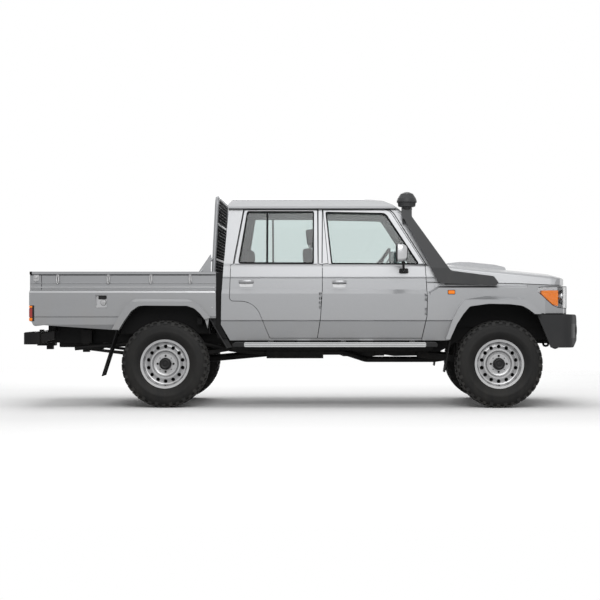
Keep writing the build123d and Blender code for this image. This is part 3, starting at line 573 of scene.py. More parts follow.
DOOR_NODES = ["%s_door%%s_%s" % (end, side) for end in ("front", "rear") for side, s in SIDES]
NODE_FINISH = [
    (paint, ["body_sides", "roof_panel", "cab_back_wall", "cowl_panel", "front_wings", "bonnet",
             "grille"]),
    (paint, [name % "" for name in DOOR_NODES]),
    (bed_paint, ["bed_floor", "bed_sides", "tailgate", "headboard"]),
    (frame_black, ["ladder_frame", "rear_axle", "rear_springs", "front_axle", "front_suspension",
                   "exhaust", "tie_rod", "rear_bumper", "propeller_shafts", "fuel_tank", "inner_wings",
                   "radiator"]),
    (cast, ["engine_block", "gearbox", "knuckle_left", "knuckle_right"]),
    (glass, ["cab_glass"] + [name % "_glass" for name in DOOR_NODES]),
    (bumper_black, ["front_bumper", "rear_guards"]),
    (snorkel_black, ["snorkel"]),
    (rubber, ["mud_flaps"]),
    (alloy, ["side_steps"]),
    (trim, ["dashboard"]),
    (carpet, ["cab_floor"]),
    (dark_trim, ["steering_wheel"]),
    (wheel_paint, ["rim_" + name for name, x, y, side in WHEELS]),
]
for look, names in NODE_FINISH:
    for name in names:
        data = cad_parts[name].data
        data.materials.clear()
        data.materials.append(look)

# The tub floor is black underneath, below this height in metres
UNDERSIDE_Z = 0.831
tub_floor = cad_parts["bed_floor"].data
tub_floor.materials.append(frame_black)
for face in tub_floor.polygons:
    if face.center.z < UNDERSIDE_Z:
        face.material_index = 1


# Tyres with tread blocks, and what sits on the wheels
CARCASS = [
    (219.3, -96), (235, -99.5), (262, -128), (300, -141), (312, -142.2), (316, -141), (338, -142),
    (368, -136.5), (390, -124), (399, -114), (402, -100),
]
CARCASS += [(r, -w) for r, w in CARCASS[::-1]]
PITCHES = 36
# Tread rows: from and to across the tyre, shift and length as shares of one pitch, slant
TREAD = []
for near, far, shift, length, slant in [(4, 38, 0.0, 0.80, 0.2), (46, 82, 0.25, 0.74, -0.18),
                                        (90, 125, 0.05, 0.60, 0.05)]:
    TREAD += [(near, far, shift, length, slant), (-far, -near, shift + 0.5, length, slant)]
TREAD_BASE = 398
SHOULDER = [(370, 140.5), (390, 133.5), (404, 125.5)]
SHOULDER_TOP = 404
SHOULDER_DEPTH = 12
BLOCK_FACES = [(0, 1, 2, 3), (7, 6, 5, 4)] + [(i, (i + 1) % 4, (i + 1) % 4 + 4, i + 4) for i in range(4)]
RIM_FACE = [(128, 50), (142, 50), (168, 34), (186, 30), (198, 34)]
HOLE_COUNT = 14
HOLE_CIRCLE = 166
# Inner and outer radius of the black rings of painted shade round the holes
HOLE_SHADE_RADII = (13.6, 18.2)
NUT_CIRCLE = 76


def crown(w):
    """Radius of the tread, which falls off toward the shoulders."""
    return HUB_Z - 0.0022 * max(0, abs(w) - 70) ** 2


def tyre(name, x, y, side):
    def spot(r, share, w):
        u, v = polar(r, share / PITCHES)
        return (x + u, side * y + w, HUB_Z + v)

    blocks = []
    for i in range(PITCHES):
        for w0, w1, shift, length, slant in TREAD:
            for part in (0, 1):
                a0 = i + shift + part * length * 0.53
                a1 = a0 + length * 0.47
                corners = [(a0, w0), (a1, w0), (a1 + slant, w1), (a0 + slant, w1)]
                points = [spot(TREAD_BASE, a, side * w) for a, w in corners]
                points += [spot(crown(w), a, side * w) for a, w in corners]
                blocks.append((points, BLOCK_FACES))
        for s, start in [(1, i + 0.05), (-1, i + 0.55)]:
            foot = SHOULDER_TOP - (36 if i % 2 else 25)
            points = []
            for w in (SHOULDER_DEPTH, 0):
                for share, r in [(0.05, SHOULDER_TOP), (0.55, SHOULDER_TOP), (0.55, foot), (0.05, foot)]:
                    points.append(spot(r, start + share, s * (along(SHOULDER, r) - w)))
            blocks.append((points, BLOCK_FACES))
    make("tread_" + name, joined(*blocks), tread_black, "wheel_" + name, edge=1.4, steps=1)
    carcass = make("tyre_case_" + name, turned_y(CARCASS, x, side * y, HUB_Z, side, 96), tyre_black,
                   "wheel_" + name, sharp=40)
    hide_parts("tyre_" + name)


def wheel_fittings(name, x, y, side):
    body = "wheel_" + name

    def studs(first, r, h, steps):
        profile = [(0, 33), (r, 33), (r, h - 2), (r - 2, h), (0, h)]
        spots = [polar(NUT_CIRCLE, (first + i) / 8) for i in (0, 2, 4, 6)]
        return joined(*[turned_y(profile, x + u, side * y, HUB_Z + v, side, steps) for u, v in spots])

    # Black ring round one hole: painted shade that makes the dark hole look wider
    def shade_ring_at_hole(i):
        cx, cz = polar(HOLE_CIRCLE, 0.25 + i / HOLE_COUNT)
        rings = []
        for k in range(20):
            inner, outer = [polar(r, k / 20) for r in HOLE_SHADE_RADII]
            rings.append([])
            for (u, v), lift in [(inner, 0.7), (outer, 0.7), (outer, -1), (inner, -1)]:
                out = along(RIM_FACE, math.hypot(cx + u, cz + v)) + lift
                rings[-1].append((x + cx + u, side * (y + out), HUB_Z + cz + v))
        return loft(rings + rings[:1], False)

    cap = [(0, 92.5), (0, 99), (16, 99), (20, 96), (34, 96), (38, 98), (46, 96), (52, 90), (56, 84),
           (56, 60), (58, 58), (58, 40.5), (54.3, 40.5), (54.3, 84.2), (46, 92.4)]
    make("hub_cap_" + name, turned_y(cap, x, side * y, HUB_Z, side), black, body, edge=0.8)
    make("wheel_nuts_" + name, studs(0, 11, 47, 6), frame_black, body, sharp=20, slot="bare_steel")
    make("wheel_screws_" + name, studs(1, 5, 38, 12), black, body)
    make("wheel_hole_shade_rings_" + name, joined(*[shade_ring_at_hole(i) for i in range(HOLE_COUNT)]), black, body)
    shield = turned_y([(44, -41), (190, -41), (190, -36), (44, -36)], x, side * y, HUB_Z, side)
    holder = "knuckle_%s_body" % name.split("_")[1] if name.startswith("front") else "chassis"
    make("brake_shield_" + name, shield, frame_black, holder)
    valve = [(x, side * (y + 58), HUB_Z - 207), (x, side * (y + 78), HUB_Z - 202)]
    tubes("valve_" + name, [valve], 4, rubber, body)


for wheel in WHEELS:
    tyre(*wheel)
    wheel_fittings(*wheel)


# Rubber and gaps round the doors and windows

def grown(outline, amount):
    """The same outline moved outward by an even amount; negative moves it inward."""
    points = [Vector(p[:2]) for p in outline]
    turn = sum(a.x * b.y - b.x * a.y for a, b in zip(points, points[1:] + points[:1]))
    sign = 1 if turn < 0 else -1
    result = []
    for i, here in enumerate(points):
        d0 = (here - points[i - 1]).normalized()
        d1 = (points[(i + 1) % len(points)] - here).normalized()
        n0, n1 = Vector((-d0.y, d0.x)), Vector((-d1.y, d1.x))
        n = (n0 + n1).normalized()
        result.append(tuple(here + n * (sign * amount / max(0.35, n.dot(n1)))))
    return result


FRAME_LINES = [
    ("front", [(195, 1378), (198, 1893), (836, 1893), (880, 1858), (1190, 1360)]),
    ("rear", [(-652, 1376), (-557, 1893), (156, 1893), (158, 1378)]),
]
for side in SIDES:
    for end, outline, window in [("front", FRONT_DOOR, FRONT_WINDOW), ("rear", REAR_DOOR, REAR_WINDOW)]:
        pane = grown(rounded(window), -1)
        on_side(side, end + "_window_rubber", ribbon(pane, 14, 1.4, 22, True), rubber,
                door_body(end, side), sharp=50)
        on_side(side, end + "_door_seal", ribbon(outline, 15, -33, 5, True), rubber)
    for end, line in FRAME_LINES:
        on_side(side, end + "_frame_line", ribbon(line, 9, 1.2, 6), rubber)
    for end, x0, x1 in [("front", 262, 1160), ("rear", -636, 146)]:
        strip = ribbon([(x0, 1367), (x1, 1367)], 5, 0.8, 5)
        on_side(side, end + "_belt_line", strip, rubber, door_body(end, side))
    bars = ribbon([(-330, 1870), (-330, 1378)], 19, -6, 16)
    on_side(side, "rear_window_bars", bars, rubber, door_body("rear", side), edge=0.8)
    # Black strip under the roof edge: painted shade in the drip channel
    gutter_shade_strip = ribbon([(-700, 1898), (0, 1898), (905, 1898)], 9, 29.5, 12)
    on_side(side, "gutter_shade_strip", gutter_shade_strip, rubber)


# Door handles in their cups, with a lock below the front ones

def door_handle(end, x0, x1, z, side):
    body = door_body(end, side)
    y = wall_y(z)
    bar = []
    for t in range(9):
        f = t / 8
        x = x0 + 6 + (x1 - x0 - 12) * f
        lift = 22 - 14 * abs(2 * f - 1) ** 3
        h = 17 - 5 * abs(2 * f - 1) ** 4
        section = rounded([(-9, -h), (5, -h), (8, 0), (5, h), (-9, h)], 4, 2)
        bar.append([(x, y + lift + a, z + b) for a, b in section])
    on_side(side, "door_handle_" + end, loft(bar), paint, body, edge=1.5, slot="light_alloy")
    # Dark strip under the handle bar: painted shadow
    shadow = along_y(oblong(x0 + 8, x1 - 8, z - 20, z - 13, 3), y - 2, y + 3)
    on_side(side, "handle_gap_" + end, shadow, rubber, body)
    cup, floor = [
        rounded([(x0 + 12, z0), (x1 - 12, z0), (x1 - 8, z1), (x0 + 8, z1)], 16)
        for z0, z1 in [(z - 54, z + 14), (z - 52, z - 5)]
    ]
    on_side(side, "handle_cup_" + end, ribbon(cup, 5, 1.6, 6, True), paint, body)
    # The dish takes the lighter wheel paint: painted highlight on the door's own paint
    dish = loft([[(a, wall_y(b) + off, b) for a, b in floor] for off in (0.7, -3)])
    on_side(side, "handle_dish_" + end, dish, wheel_paint, body)
    if end == "front":
        lock = [(0, 0), (9, 0), (9, 3), (7, 4), (3, 4), (3, 2), (0, 2)]
        lock = turned_y(lock, (x0 + x1) / 2 + 50, y - 1, z - 34, 1, 20)
        on_side(side, "door_lock", lock, steel, body)


for side in SIDES:
    door_handle("rear", -604, -451, 1201, side)
    door_handle("front", 287, 433, 1196, side)


# Mirrors

def mirror(side):
    side_name, s = side
    body = door_body("front", side)

    def rings(*places):
        return [[(x, y, z) for y, z in oblong(893 + off, 1065 - off, 1385 + off, 1552 - off, 30, 5)]
                for x, off in places]

    shell = loft(rings((904, 3), (915, 0), (955, 1), (982, 10), (996, 24), (1002, 44)))
    housing = on_side(side, "mirror_shell", shell, bright, body, sharp=60)
    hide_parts("mirror_" + side_name)
    rim = loft(rings((905, 1), (894, 1), (894, 9), (899, 10)), False)
    on_side(side, "mirror_rim", rim, black, body, sharp=60)
    on_side(side, "mirror_glass", loft(rings((898, 9), (900, 9))), mirror_face, body)
    foot = joined(along_y(rounded([(926, 1279), (1020, 1279), (1014, 1326), (932, 1326)], 14), 812, 832),
                  along_z(oblong(938, 1000, 826, 846, 8), 1286, 1320))
    on_side(side, "mirror_foot", foot, black, body, edge=3)
    arm = [(968, 838, 1303), (968, 880, 1303), (968, 930, 1310), (966, 944, 1350), (964, 948, 1400)]
    tubes("mirror_arm_" + side_name, [[(x, y * s, z) for x, y, z in arm]], 11, black, body, smooth=True)
    cuff = turned_z([(0, 0), (17, 0), (19, 10), (15, 22), (0, 22)], 965, 947 * s, 1366, 24)
    make("mirror_cuff_" + side_name, cuff, black, body)


for side in SIDES:
    mirror(side)


# Wings: side indicators
make("indicator_bases", both(along_y(oblong(1390, 1462, 1078, 1121, 9), 845, 851)), black, edge=1.5)
make("indicator_lenses", both(along_y(oblong(1395, 1457, 1083, 1116, 7), 849, 857)), amber, edge=3)


# Headlamps: lens, reflectors, amber corner and dark edges
LAMP_PLAN = [
    (2252, 847), (2284, 847), (2330, 843), (2400, 814), (2456, 791), (2478, 781), (2497, 765),
    (2516, 700), (2545, 590), (2558, 536),
]
LAMP_TOP = [(2240, 1136), (2270, 1148), (2472, 1151), (2600, 1151)]
LAMP_LOW = [(2240, 1104), (2252, 1102), (2390, 977), (2458, 953), (2600, 948)]
LAMP_MIDDLE = Vector((2250, 560))


def lamp_wall(inset, thick, low=0, high=0, plan=LAMP_PLAN):
    """Upright shell behind the lamp's outline, a distance inside its surface."""
    spots = []
    for (x0, y0), (x1, y1) in zip(plan, plan[1:]):
        count = max(2, int(math.hypot(x1 - x0, y1 - y0) / 18))
        spots += [(x0 + (x1 - x0) * k / count, y0 + (y1 - y0) * k / count) for k in range(count)]
    spots.append(plan[-1])
    rings = []
    for x, y in spots:
        z0, z1 = along(LAMP_LOW, x) + low, along(LAMP_TOP, x) - high
        z0 = min(z0, z1 - 2)
        toward = (LAMP_MIDDLE - Vector((x, y))).normalized()
        outer = Vector((x, y)) + toward * inset
        inner = outer + toward * thick
        rings.append([(outer.x, outer.y, z0), (outer.x, outer.y, z1), (inner.x, inner.y, z1),
                      (inner.x, inner.y, z0)])
    return loft(rings)


def lamp_edge(line, low, high):
    rings = []
    for x, y in LAMP_PLAN:
        z0, z1 = along(line, x) + low, along(line, x) + high
        rings.append([(x, y + 1, z0), (x, y + 1, z1), (x - 30, y - 22, z1), (x - 30, y - 22, z0)])
    return loft(rings)


lens_piece = make("headlamp_lenses", both(lamp_wall(0, 4)), lens, sharp=50)
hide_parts("headlamps")
make("headlamp_backs", both(lamp_wall(62, 6)), bright, sharp=40)
make("headlamp_rims", both(lamp_edge(LAMP_TOP, -1, 4), lamp_edge(LAMP_LOW, -6, 0)), black)
make("corner_ambers", both(lamp_wall(12, 26, low=12, high=34, plan=LAMP_PLAN[1:5])), amber, edge=2)
bowl = [(16, -58), (40, -48), (60, -26), (70, 0), (74, 0), (64, -30), (43, -53), (16, -64)]
small_bowl = [(r * 0.62, w * 0.8) for r, w in bowl]
bulb = [(0, -40), (9, -38), (10, -22), (7, -8), (0, -6)]
bowls = both(turned_x(bowl, 2508, 648, 1052, 40), turned_x(small_bowl, 2486, 745, 1060))
make("headlamp_bowls", bowls, bright, sharp=60)
bulbs = both(turned_x(bulb, 2505, 648, 1052, 20), turned_x(bulb, 2484, 745, 1060, 16))
make("headlamp_bulbs", bulbs, pale_lens)


# Grille: dark mesh behind painted bars
mesh_parts = []
for z in range(960, 1121, 40):
    mesh_parts.append(box(2560, 2562, -468, 468, z + 1, z + 23))
    mesh_parts += [box(2561, 2571, y - 2.5, y + 2.5, z + 0.5, z + 23.5) for y in range(-450, 451, 30)]
    mesh_parts.append(box(2561, 2569, -468, 468, z + 10, z + 14))
make("grille_mesh", joined(*mesh_parts), black)
surround = [(2592 - 0.00011 * y * y, y, z) for y, z in oblong(-484, 484, 948, 1152, 20, 4)]
tubes("grille_surround", [surround], 6, bright, closed=True)


# Front bumper: intake mesh, fog lamps, towing eyes, corner pockets and rubber under the wings
slots = [box(2606, 2612, -418, 418, 641, 699)]
slots += [box(2611, 2622, -416, 416, z - 3, z + 3) for z in (655, 670, 685)]
slots += [box(2611, 2620, y - 3, y + 3, 642, 698) for y in range(-400, 401, 50)]
make("bumper_mesh", joined(*slots), black)
for side_name, s in SIDES:
    nest = turned_x([(0, 0), (60, 0), (66, 10), (60, 14), (52, 6), (0, 4)], 2634, 590 * s, 735, 36)
    glow = turned_x([(0, 4), (50, 5), (44, 13), (24, 17), (0, 18)], 2634, 590 * s, 735, 36)
    make("fog_lamp_nest_" + side_name, nest, black)
    make("fog_lamp_" + side_name, glow, pale_lens)
    eye = [(2452, 655), (2452, 578), (2458, 562), (2478, 556), (2498, 562), (2504, 578), (2504, 655)]
    tubes("towing_eye_" + side_name, [[(x, 356 * s, z) for x, z in eye]], 12, frame_black)
pocket = []
for x, y, inset in [(2556, 842, 26), (2564, 834, 6), (2572, 824, 0), (2589, 794, 0), (2606, 744, 0),
                    (2617, 713, 6), (2622, 698, 26)]:
    z0, z1 = 660 + inset, 798 - inset
    pocket.append([(x, y, z0), (x, y, z1), (x - 8, y - 8, z1), (x - 8, y - 8, z0)])
make("bumper_pockets", both(loft(pocket)), black)
WING_FOOT = [
    (2212, 850), (2284, 850), (2330, 846), (2400, 817), (2456, 794), (2478, 784), (2499, 768),
    (2518, 703), (2547, 592), (2558, 540),
]
strip = loft([[(x, y, 886), (x, y, 899), (x - 6, y - 6, 899), (x - 6, y - 6, 886)] for x, y in WING_FOOT])
make("wing_bottom_rubber", both(strip), rubber)
gap = joined(box(2290, 2440, -700, 700, 884, 893), box(2420, 2548, -512, 512, 884, 889))
make("bumper_gap_trim", gap, black)


# Snorkel: clamp, head ribs and bracket
clamp = turned_z([(47.5, 0), (50.5, 0), (52, 2), (52, 12), (50.5, 14), (47.5, 14)], 1002, -808, 1886, 48)
make("intake_clamp", clamp, black)
HEAD_RIBS = 28
slats = []
for i in range(HEAD_RIBS):
    spots = [(polar(r, i / HEAD_RIBS), z) for r, z in [(80, 1917), (84, 1950), (96, 1957)]]
    slats.append([(1002 + u, -808 + v, z) for (u, v), z in spots])
tubes("intake_head_ribs", slats, 2.2, snorkel_black, sides=1)
stay = joined(box(968, 986, -806, -712, 1781, 1797), box(962, 992, -722, -712, 1770, 1806))
make("intake_bracket", stay, black, edge=2, slot="chassis_black")


# Windscreen and rear window: rubber, wipers, washer jets and the inside mirror
SCREEN_LONG = 620


def screen(y, s, out=0.0):
    """Spot on the windscreen: s runs from the foot to the roof, out stands off the glass."""
    return (1268.1 - 317.8 * s + out * 0.858, y, 1356 + 532 * s + out * 0.513)


inset = 8
low, high = 0.004 * SCREEN_LONG + inset, 0.992 * SCREEN_LONG - inset
ring = rounded([(inset - 748, low), (748 - inset, low), (680 - inset, high), (inset - 680, high)], 45)
tubes("windscreen_rubber", [[screen(y, s / SCREEN_LONG, 3) for y, s in ring]], 9, rubber, closed=True)
BACK_WALL_LEAN = 0.0811
ring = [(-742 + (z - 1375) * BACK_WALL_LEAN - 1, y, z) for y, z in oblong(-556, 556, 1434, 1797, 45)]
tubes("rear_window_rubber", [ring], 9, rubber, closed=True)
for name, pivot, tip, heel in [("right", -470, -640, -130), ("left", 130, 0, 500)]:
    mid = (tip + heel) / 2
    blade = [screen(tip, 0.05, 12), screen(mid, 0.075, 14), screen(heel, 0.09, 12)]
    arm = [(1296, pivot, 1364), (1288, pivot + 8, 1376)]
    arm += [screen(mid - 60, 0.07, 22), screen(mid, 0.078, 18)]
    tubes("wiper_blade_" + name, [blade], 5, black)
    tubes("wiper_arm_" + name, [arm], 6, black)
    stud = [(0, 0), (15, 0), (15, 14), (10, 20), (0, 20)]
    make("wiper_pivot_" + name, turned_z(stud, 1296, pivot, 1354, 24), black)
make("inside_mirror", joined(along_x(oblong(-110, 110, 1770, 1830, 22), 905, 925),
                             box(925, 960, -8, 8, 1800, 1850)), black, edge=5)
make("inside_mirror_face", along_x(oblong(-104, 104, 1775, 1825, 18), 903, 906), mirror_face)
jets = [turned_z([(0, 0), (9, 0), (8, 6), (0, 9)], 1372, y, 1370, 16) for y in (-380, 380)]
make("washer_jets", joined(*jets), black, "bonnet_lid")


# Tub: hooks, latches, filler, lamps, strips and floor ribs
HOOK_X = (-2324, -1843, -1436, -1062)
HOOK = [(-9, 799, 1262), (-9, 812, 1254), (-9, 813, 1196), (-5, 813, 1184), (0, 813, 1180)]
HOOK += [(-a, y, z) for a, y, z in HOOK[-2::-1]]
tubes("rope_hooks", [[(x + a, s * y, z) for a, y, z in HOOK] for s in (1, -1) for x in HOOK_X], 6, steel)
plates = [along_y(oblong(x - 14, x + 14, 1240, 1268, 5), 799, 804) for x in HOOK_X]
make("rope_hook_plates", both(*plates), steel, edge=1)
make("tub_latches", both(along_y(oblong(-2556, -2504, 1206, 1264, 8), 799, 806),
                         turned_y([(0, 0), (17, 0), (17, 8), (12, 12), (0, 13)], -2532, 804, 1240, 1, 24),
                         box(-2540, -2524, 806, 814, 1200, 1236)), steel, edge=1.5)
# The short upright strip is a real seam; the long dark strip under the rail is painted shadow
make("tub_seam_and_rail_shadow", both(box(-2482, -2477, 798, 801.5, 1120, 1262),
                            box(-2586, -822, 798, 802.5, 1259, 1269)), rubber)
# Strips on the tub's ledge and bead in the lighter paint: painted highlight where light catches them
ledge = [(846.5, 1092), (846.5, 1102), (843, 1109), (836, 1113), (806, 1123), (801, 1123), (801, 1112),
         (840, 1094)]
bead = oblong(799, 807, 1141, 1151, 3.5)
make("tub_ledge_highlights", both(along_x(ledge, -2588, -822), along_x(bead, -2586, -822)), ledge_highlight_paint)
make("tub_rear_seal", box(-2551.5, -2545, -736, 736, 846, 858), rubber)
make("rail_end_caps", both(box(-2592, -2568, 744, 813, 1268, 1296)), rubber, edge=3)
# Dark block filling the gap between cab and tub: painted shade
gap_shade_outline = [(-816, 742), (-800, 664), (-706, 652), (-772, 800), (-764, 1060), (-746, 1284), (-816, 1284)]
make("tub_gap_shade", both(along_y(gap_shade_outline, 716, 806)), rubber, edge=3)
bracket = both(box(-862, -838, 800, 816, 930, 975), turned_y(disc(7, 8), -850, 844, 953, 1, 16))
make("tub_brackets", bracket, steel, edge=1.5)
# The filler pocket takes the lighter wheel paint: painted highlight on the body's own paint
cup = loft([[(x, -y, z) for x, z in oblong(-1960 + a, -1848 - a, 949 + a, 1074 - a, 14)]
            for y, a in [(846, 0), (808, 4), (806.5, 6), (806.5, 40)]], False)
make("filler_cup_lit", cup, wheel_paint)
make("filler_back_lit", along_y(oblong(-1956, -1852, 953, 1070, 12), -808, -805.5), wheel_paint)
cap = [(0, 0), (26, 0), (28, 6), (25, 16), (10, 17), (0, 17)]
make("filler_cap", joined(turned_y(cap, -1888, -808, 1000, -1, 32),
                          along_y(oblong(-1910, -1866, 996, 1004, 3), -834, -822)), steel, edge=1.5)
make("filler_shade", along_y(oblong(-1936, -1858, 1030, 1066, 10), -812, -806), black)
ring = ribbon(oblong(-1960, -1848, 949, 1074, 14), 5, 1.5, 5, True, lambda z: 845.5)
make("filler_lip", mirrored(ring, -1), bed_paint)

case = along_z(oblong(-2586, -2541, 784, 842, 6), 822, 973)
lamp_box = make("tail_lamp_cases", both(case), black, edge=2)
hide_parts("tail_lamps")
TAIL_LENSES = [("upper", 950, 970, amber), ("middle", 860, 946, red), ("lower", 826, 856, amber)]
for name, z0, z1, look in TAIL_LENSES:
    glow = along_z(oblong(-2592, -2558, 787, 843, 7), z0, z1)
    make("tail_lens_" + name, both(glow), look, edge=3, slot="red_lens")

ribs = []
for x0, x1, reach in [(-2530, -1790, 680), (-1790, -870, 510)]:
    ribs += [box(x0, x1, y - 22, y + 22, 860, 864) for y in range(-reach, reach + 1, 85)]
make("tub_floor_ribs", joined(*ribs), bed_paint, edge=1.8)
# The wall ribs stop short above the wheel boxes
posts = [box(x - 18, x + 18, 739, 745, foot, 1260)
         for x, foot in [(-2400, 864), (-2100, 864), (-1820, 864), (-1450, 1010), (-1100, 1010)]]
make("tub_wall_ribs", both(*posts), bed_paint, edge=1.5)
HEADBOARD_LEAN = 0.0484
wires = []
for z in range(1330, 1991, 30):
    x = -838 + (z - 1290) * HEADBOARD_LEAN
    wires.append([(x, -694, z), (x, 694, z)])
wires += [[(-838, i * 27.5, 1300), (-803, i * 27.5, 2005)] for i in range(-25, 26) if i % 4]
tubes("headboard_mesh", wires, 2.6, black, sides=1, slot="chassis_black")
gussets = along_y([(-984, 1296), (-868, 1296), (-866, 1458), (-874, 1458)], 757, 762)
make("headboard_gussets", both(gussets), bed_paint, edge=1)

handle = joined(along_x(oblong(-95, 95, 1206, 1252, 12), -2596, -2588),
                along_x(oblong(-70, 70, 1220, 1240, 8), -2604, -2595))
make("tailgate_handle", handle, black, "tailgate_panel", edge=2.5)
LIPS = [(-626, -330), (-306, 306), (330, 626)]
lips = [along_x(oblong(a, b, 972, 1188, 26), -2587, -2583.5) for a, b in LIPS]
make("tailgate_pressings", joined(*lips), bed_paint, "tailgate_panel", edge=1.6)
catch = both(box(-2588, -2560, 726, 739, 1150, 1200), box(-2596, -2586, 690, 728, 1160, 1190))
make("tailgate_catches", catch, steel, "tailgate_panel", edge=1.5)


# Rear bumper: treads, plate lamp, tow receiver and reflectors
tread = [box(-2648, -2500, y0, y1, 712, 714) for y0, y1 in [(-770, -300), (300, 770)]]
tread += [box(x, x + 6, y - 225, y + 225, 713.5, 716.5)
          for x in range(-2644, -2517, 18) for y in (535, -535)]
make("bumper_treads", joined(*tread), rubber)
make("plate_lamp", along_z(oblong(-2640, -2600, -36, 36, 8), 712, 730), black, edge=4)
make("tow_receiver", joined(box(-2568, -2504, -34, 34, 533, 570), box(-2560, -2512, -46, 46, 556, 570)),
     frame_black, edge=2)
make("rear_reflectors", both(along_z(oblong(-2655, -2645, 640, 720, 4), 646, 672)), red, edge=1.5)


# Side steps: end caps, tread strips, and dark strips of painted shade in the grooves
for end, caps in [("front", [(1178, 579), (1178, 626), (1276, 624), (1293, 606), (1288, 579)]),
                  ("rear", [(-539, 579), (-539, 626), (-630, 624), (-655, 608), (-652, 579)])]:
    make("step_caps_" + end, both(along_y(rounded(caps, 8), 800, 924)), black, edge=5)
pads = [box(x, x + 480, 822, 906, 623.5, 626) for x in (-520, 80, 680)]
pads += [box(x, x + 480, y - 2, y + 2, 625, 628) for x in (-520, 80, 680) for y in range(830, 905, 9)]
make("step_treads", both(*pads), rubber)
# Dark strips along the step face: painted shade in its grooves
make("step_groove_shade", both(*[box(-538, 1177, 924, 925.4, z, z + 3) for z in (592, 610)]), dark_trim,
     slot="dark_plastic")


# Suspension: coils, dampers, arms, bolts, leaves and the tail pipe
COIL_RADIUS = 44
coils = []
for s in (1, -1):
    spots = [polar(COIL_RADIUS, t / 14) for t in range(85)]
    coils.append([(1880 + u, s * 470 + v, 490 + t * 200 / 84) for t, (u, v) in enumerate(spots)])
spring = tubes("front_coils", coils, 6.5, frame_black, sides=2, slot="bare_steel")
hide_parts("front_suspension")
damper = [(0, 0), (22, 0), (22, 118), (10, 122), (10, 222), (0, 222)]
cups = [turned_z(disc(r, h), 1880, 470, z, 32) for r, h, z in [(54, 7, 482), (56, 8, 691)]]
make("front_dampers", both(turned_z(damper, 1880, 470, 478, 28), *cups), frame_black)
arm = rounded([(1120, 520), (1180, 520), (1836, 448), (1836, 384), (1120, 462)], 12)
make("front_arms", both(along_y(arm, 332, 382), turned_y(disc(30, 30, -30), 1150, 357, 491, 1, 28)),
     frame_black, edge=4)
tubes("axle_u_bolts", [[(x, s * 446, 440), (x, s * 446, 520), (x, s * 518, 520), (x, s * 518, 440)]
                       for s in (1, -1) for x in (-1352, -1248)], 6, steel)
leaves = []
for i in range(3):
    rear, front, z = -1650 + i * 90, -950 - i * 70, 500 - i * 6
    leaves.append(along_y([(rear, z), (rear, z + 6), (front, z - 6), (front, z - 12)], 455, 509))
make("helper_leaves", both(*leaves), frame_black, edge=1.5)
tubes("rear_dampers", [[(-1345, s * 380, 430), (-1480, s * 340, 660)] for s in (1, -1)], 24,
      frame_black, sides=4)
pipe = [(-350, -500, 520), (-600, -480, 520), (-1000, -520, 620), (-1500, -540, 620), (-2200, -560, 560)]
tubes("tail_pipe", [pipe], 24, frame_black, smooth=True, sides=5, slot="bare_steel")


# Underbody: wheel housings, bearers, beams and the gearbox guard
outer = [(-1760, 700), (-1742, 915), (-1652, 990), (-988, 990), (-894, 915), (-874, 700)]
inner = [(-1752, 700), (-1734, 912), (-1649, 982), (-991, 982), (-902, 912), (-882, 700)]
make("rear_wheel_housings", both(along_y(outer + [(-1090, 700), (-1090, 560), (-1480, 560), (-1480, 700)],
                                         551, 557), along_y(outer + inner[::-1], 551, 745)),
     frame_black, slot="dark_plastic")
bearers = [box(x - 25, x + 25, -700, 700, 790, 855) for x in (-2440, -2160, -1880, -980)]
make("tub_bearers", joined(*bearers), frame_black, edge=2)
beam = [(-2480, 733), (-2480, 800), (-860, 800), (-860, 690), (-1000, 733)]
make("tub_beams", both(along_y(beam, 380, 424)), frame_black, edge=2)
sill = [(-680, 556), (-640, 540), (1250, 540), (1290, 600), (1290, 652), (-690, 652)]
make("sill_beams", both(along_y(sill, 566, 640)), frame_black, edge=3)
guard = [(330, 500), (400, 472), (680, 470), (800, 488), (900, 474), (1250, 480), (1330, 540), (330, 540)]
make("gearbox_guard", along_y(guard, -310, 310), frame_black, edge=4)


# Seats
DRAW_IN = 0.03
SEAM_WIDTH = 11


def pad(name, centre, half, lean, look, crown, seams, bolster=0, cuts=26):
    """Stuffed pad: crowned face, drawn-in sides, raised edges and sewn channels across it."""
    work = bmesh.new()
    bmesh.ops.create_cube(work, size=2)
    bmesh.ops.subdivide_edges(work, edges=work.edges, cuts=cuts, use_grid_fill=True)
    turn = Matrix.Rotation(math.radians(lean), 3, "Y")
    for v in work.verts:
        x, y, z = v.co
        k = (abs(x) ** 6 + abs(y) ** 6 + abs(z) ** 6) ** (1 / 6)
        x, y, z = x / k, y / k, z / k
        pull = 1 - DRAW_IN * (1 - z * z) * (1 - abs(x * y))
        px, py, pz = x * half[0] * pull, y * half[1] * pull, z * half[2]
        if z > 0:
            edge = max(0.0, min(1.0, (abs(y) - 0.6) / 0.22))
            pz += crown * (1 - x * x) * (1 - y * y) * z
            pz += bolster * edge * (1 - x ** 4) * (1 - max(0, abs(y) - 0.85) * 4) * z
            for axis, at, deep in seams:
                off = (px if axis == "x" else py) - at
                pz -= deep * math.exp(-(off / SEAM_WIDTH) ** 2) * z
        v.co = (turn @ Vector((px, py, pz)) + Vector(centre)) * MM
    mesh = bpy.data.meshes.new(name)
    smooth_mesh(work, mesh)
    piece = in_scene(name, mesh)
    mesh.materials.append(look)
    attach(piece, "chassis")
    return piece


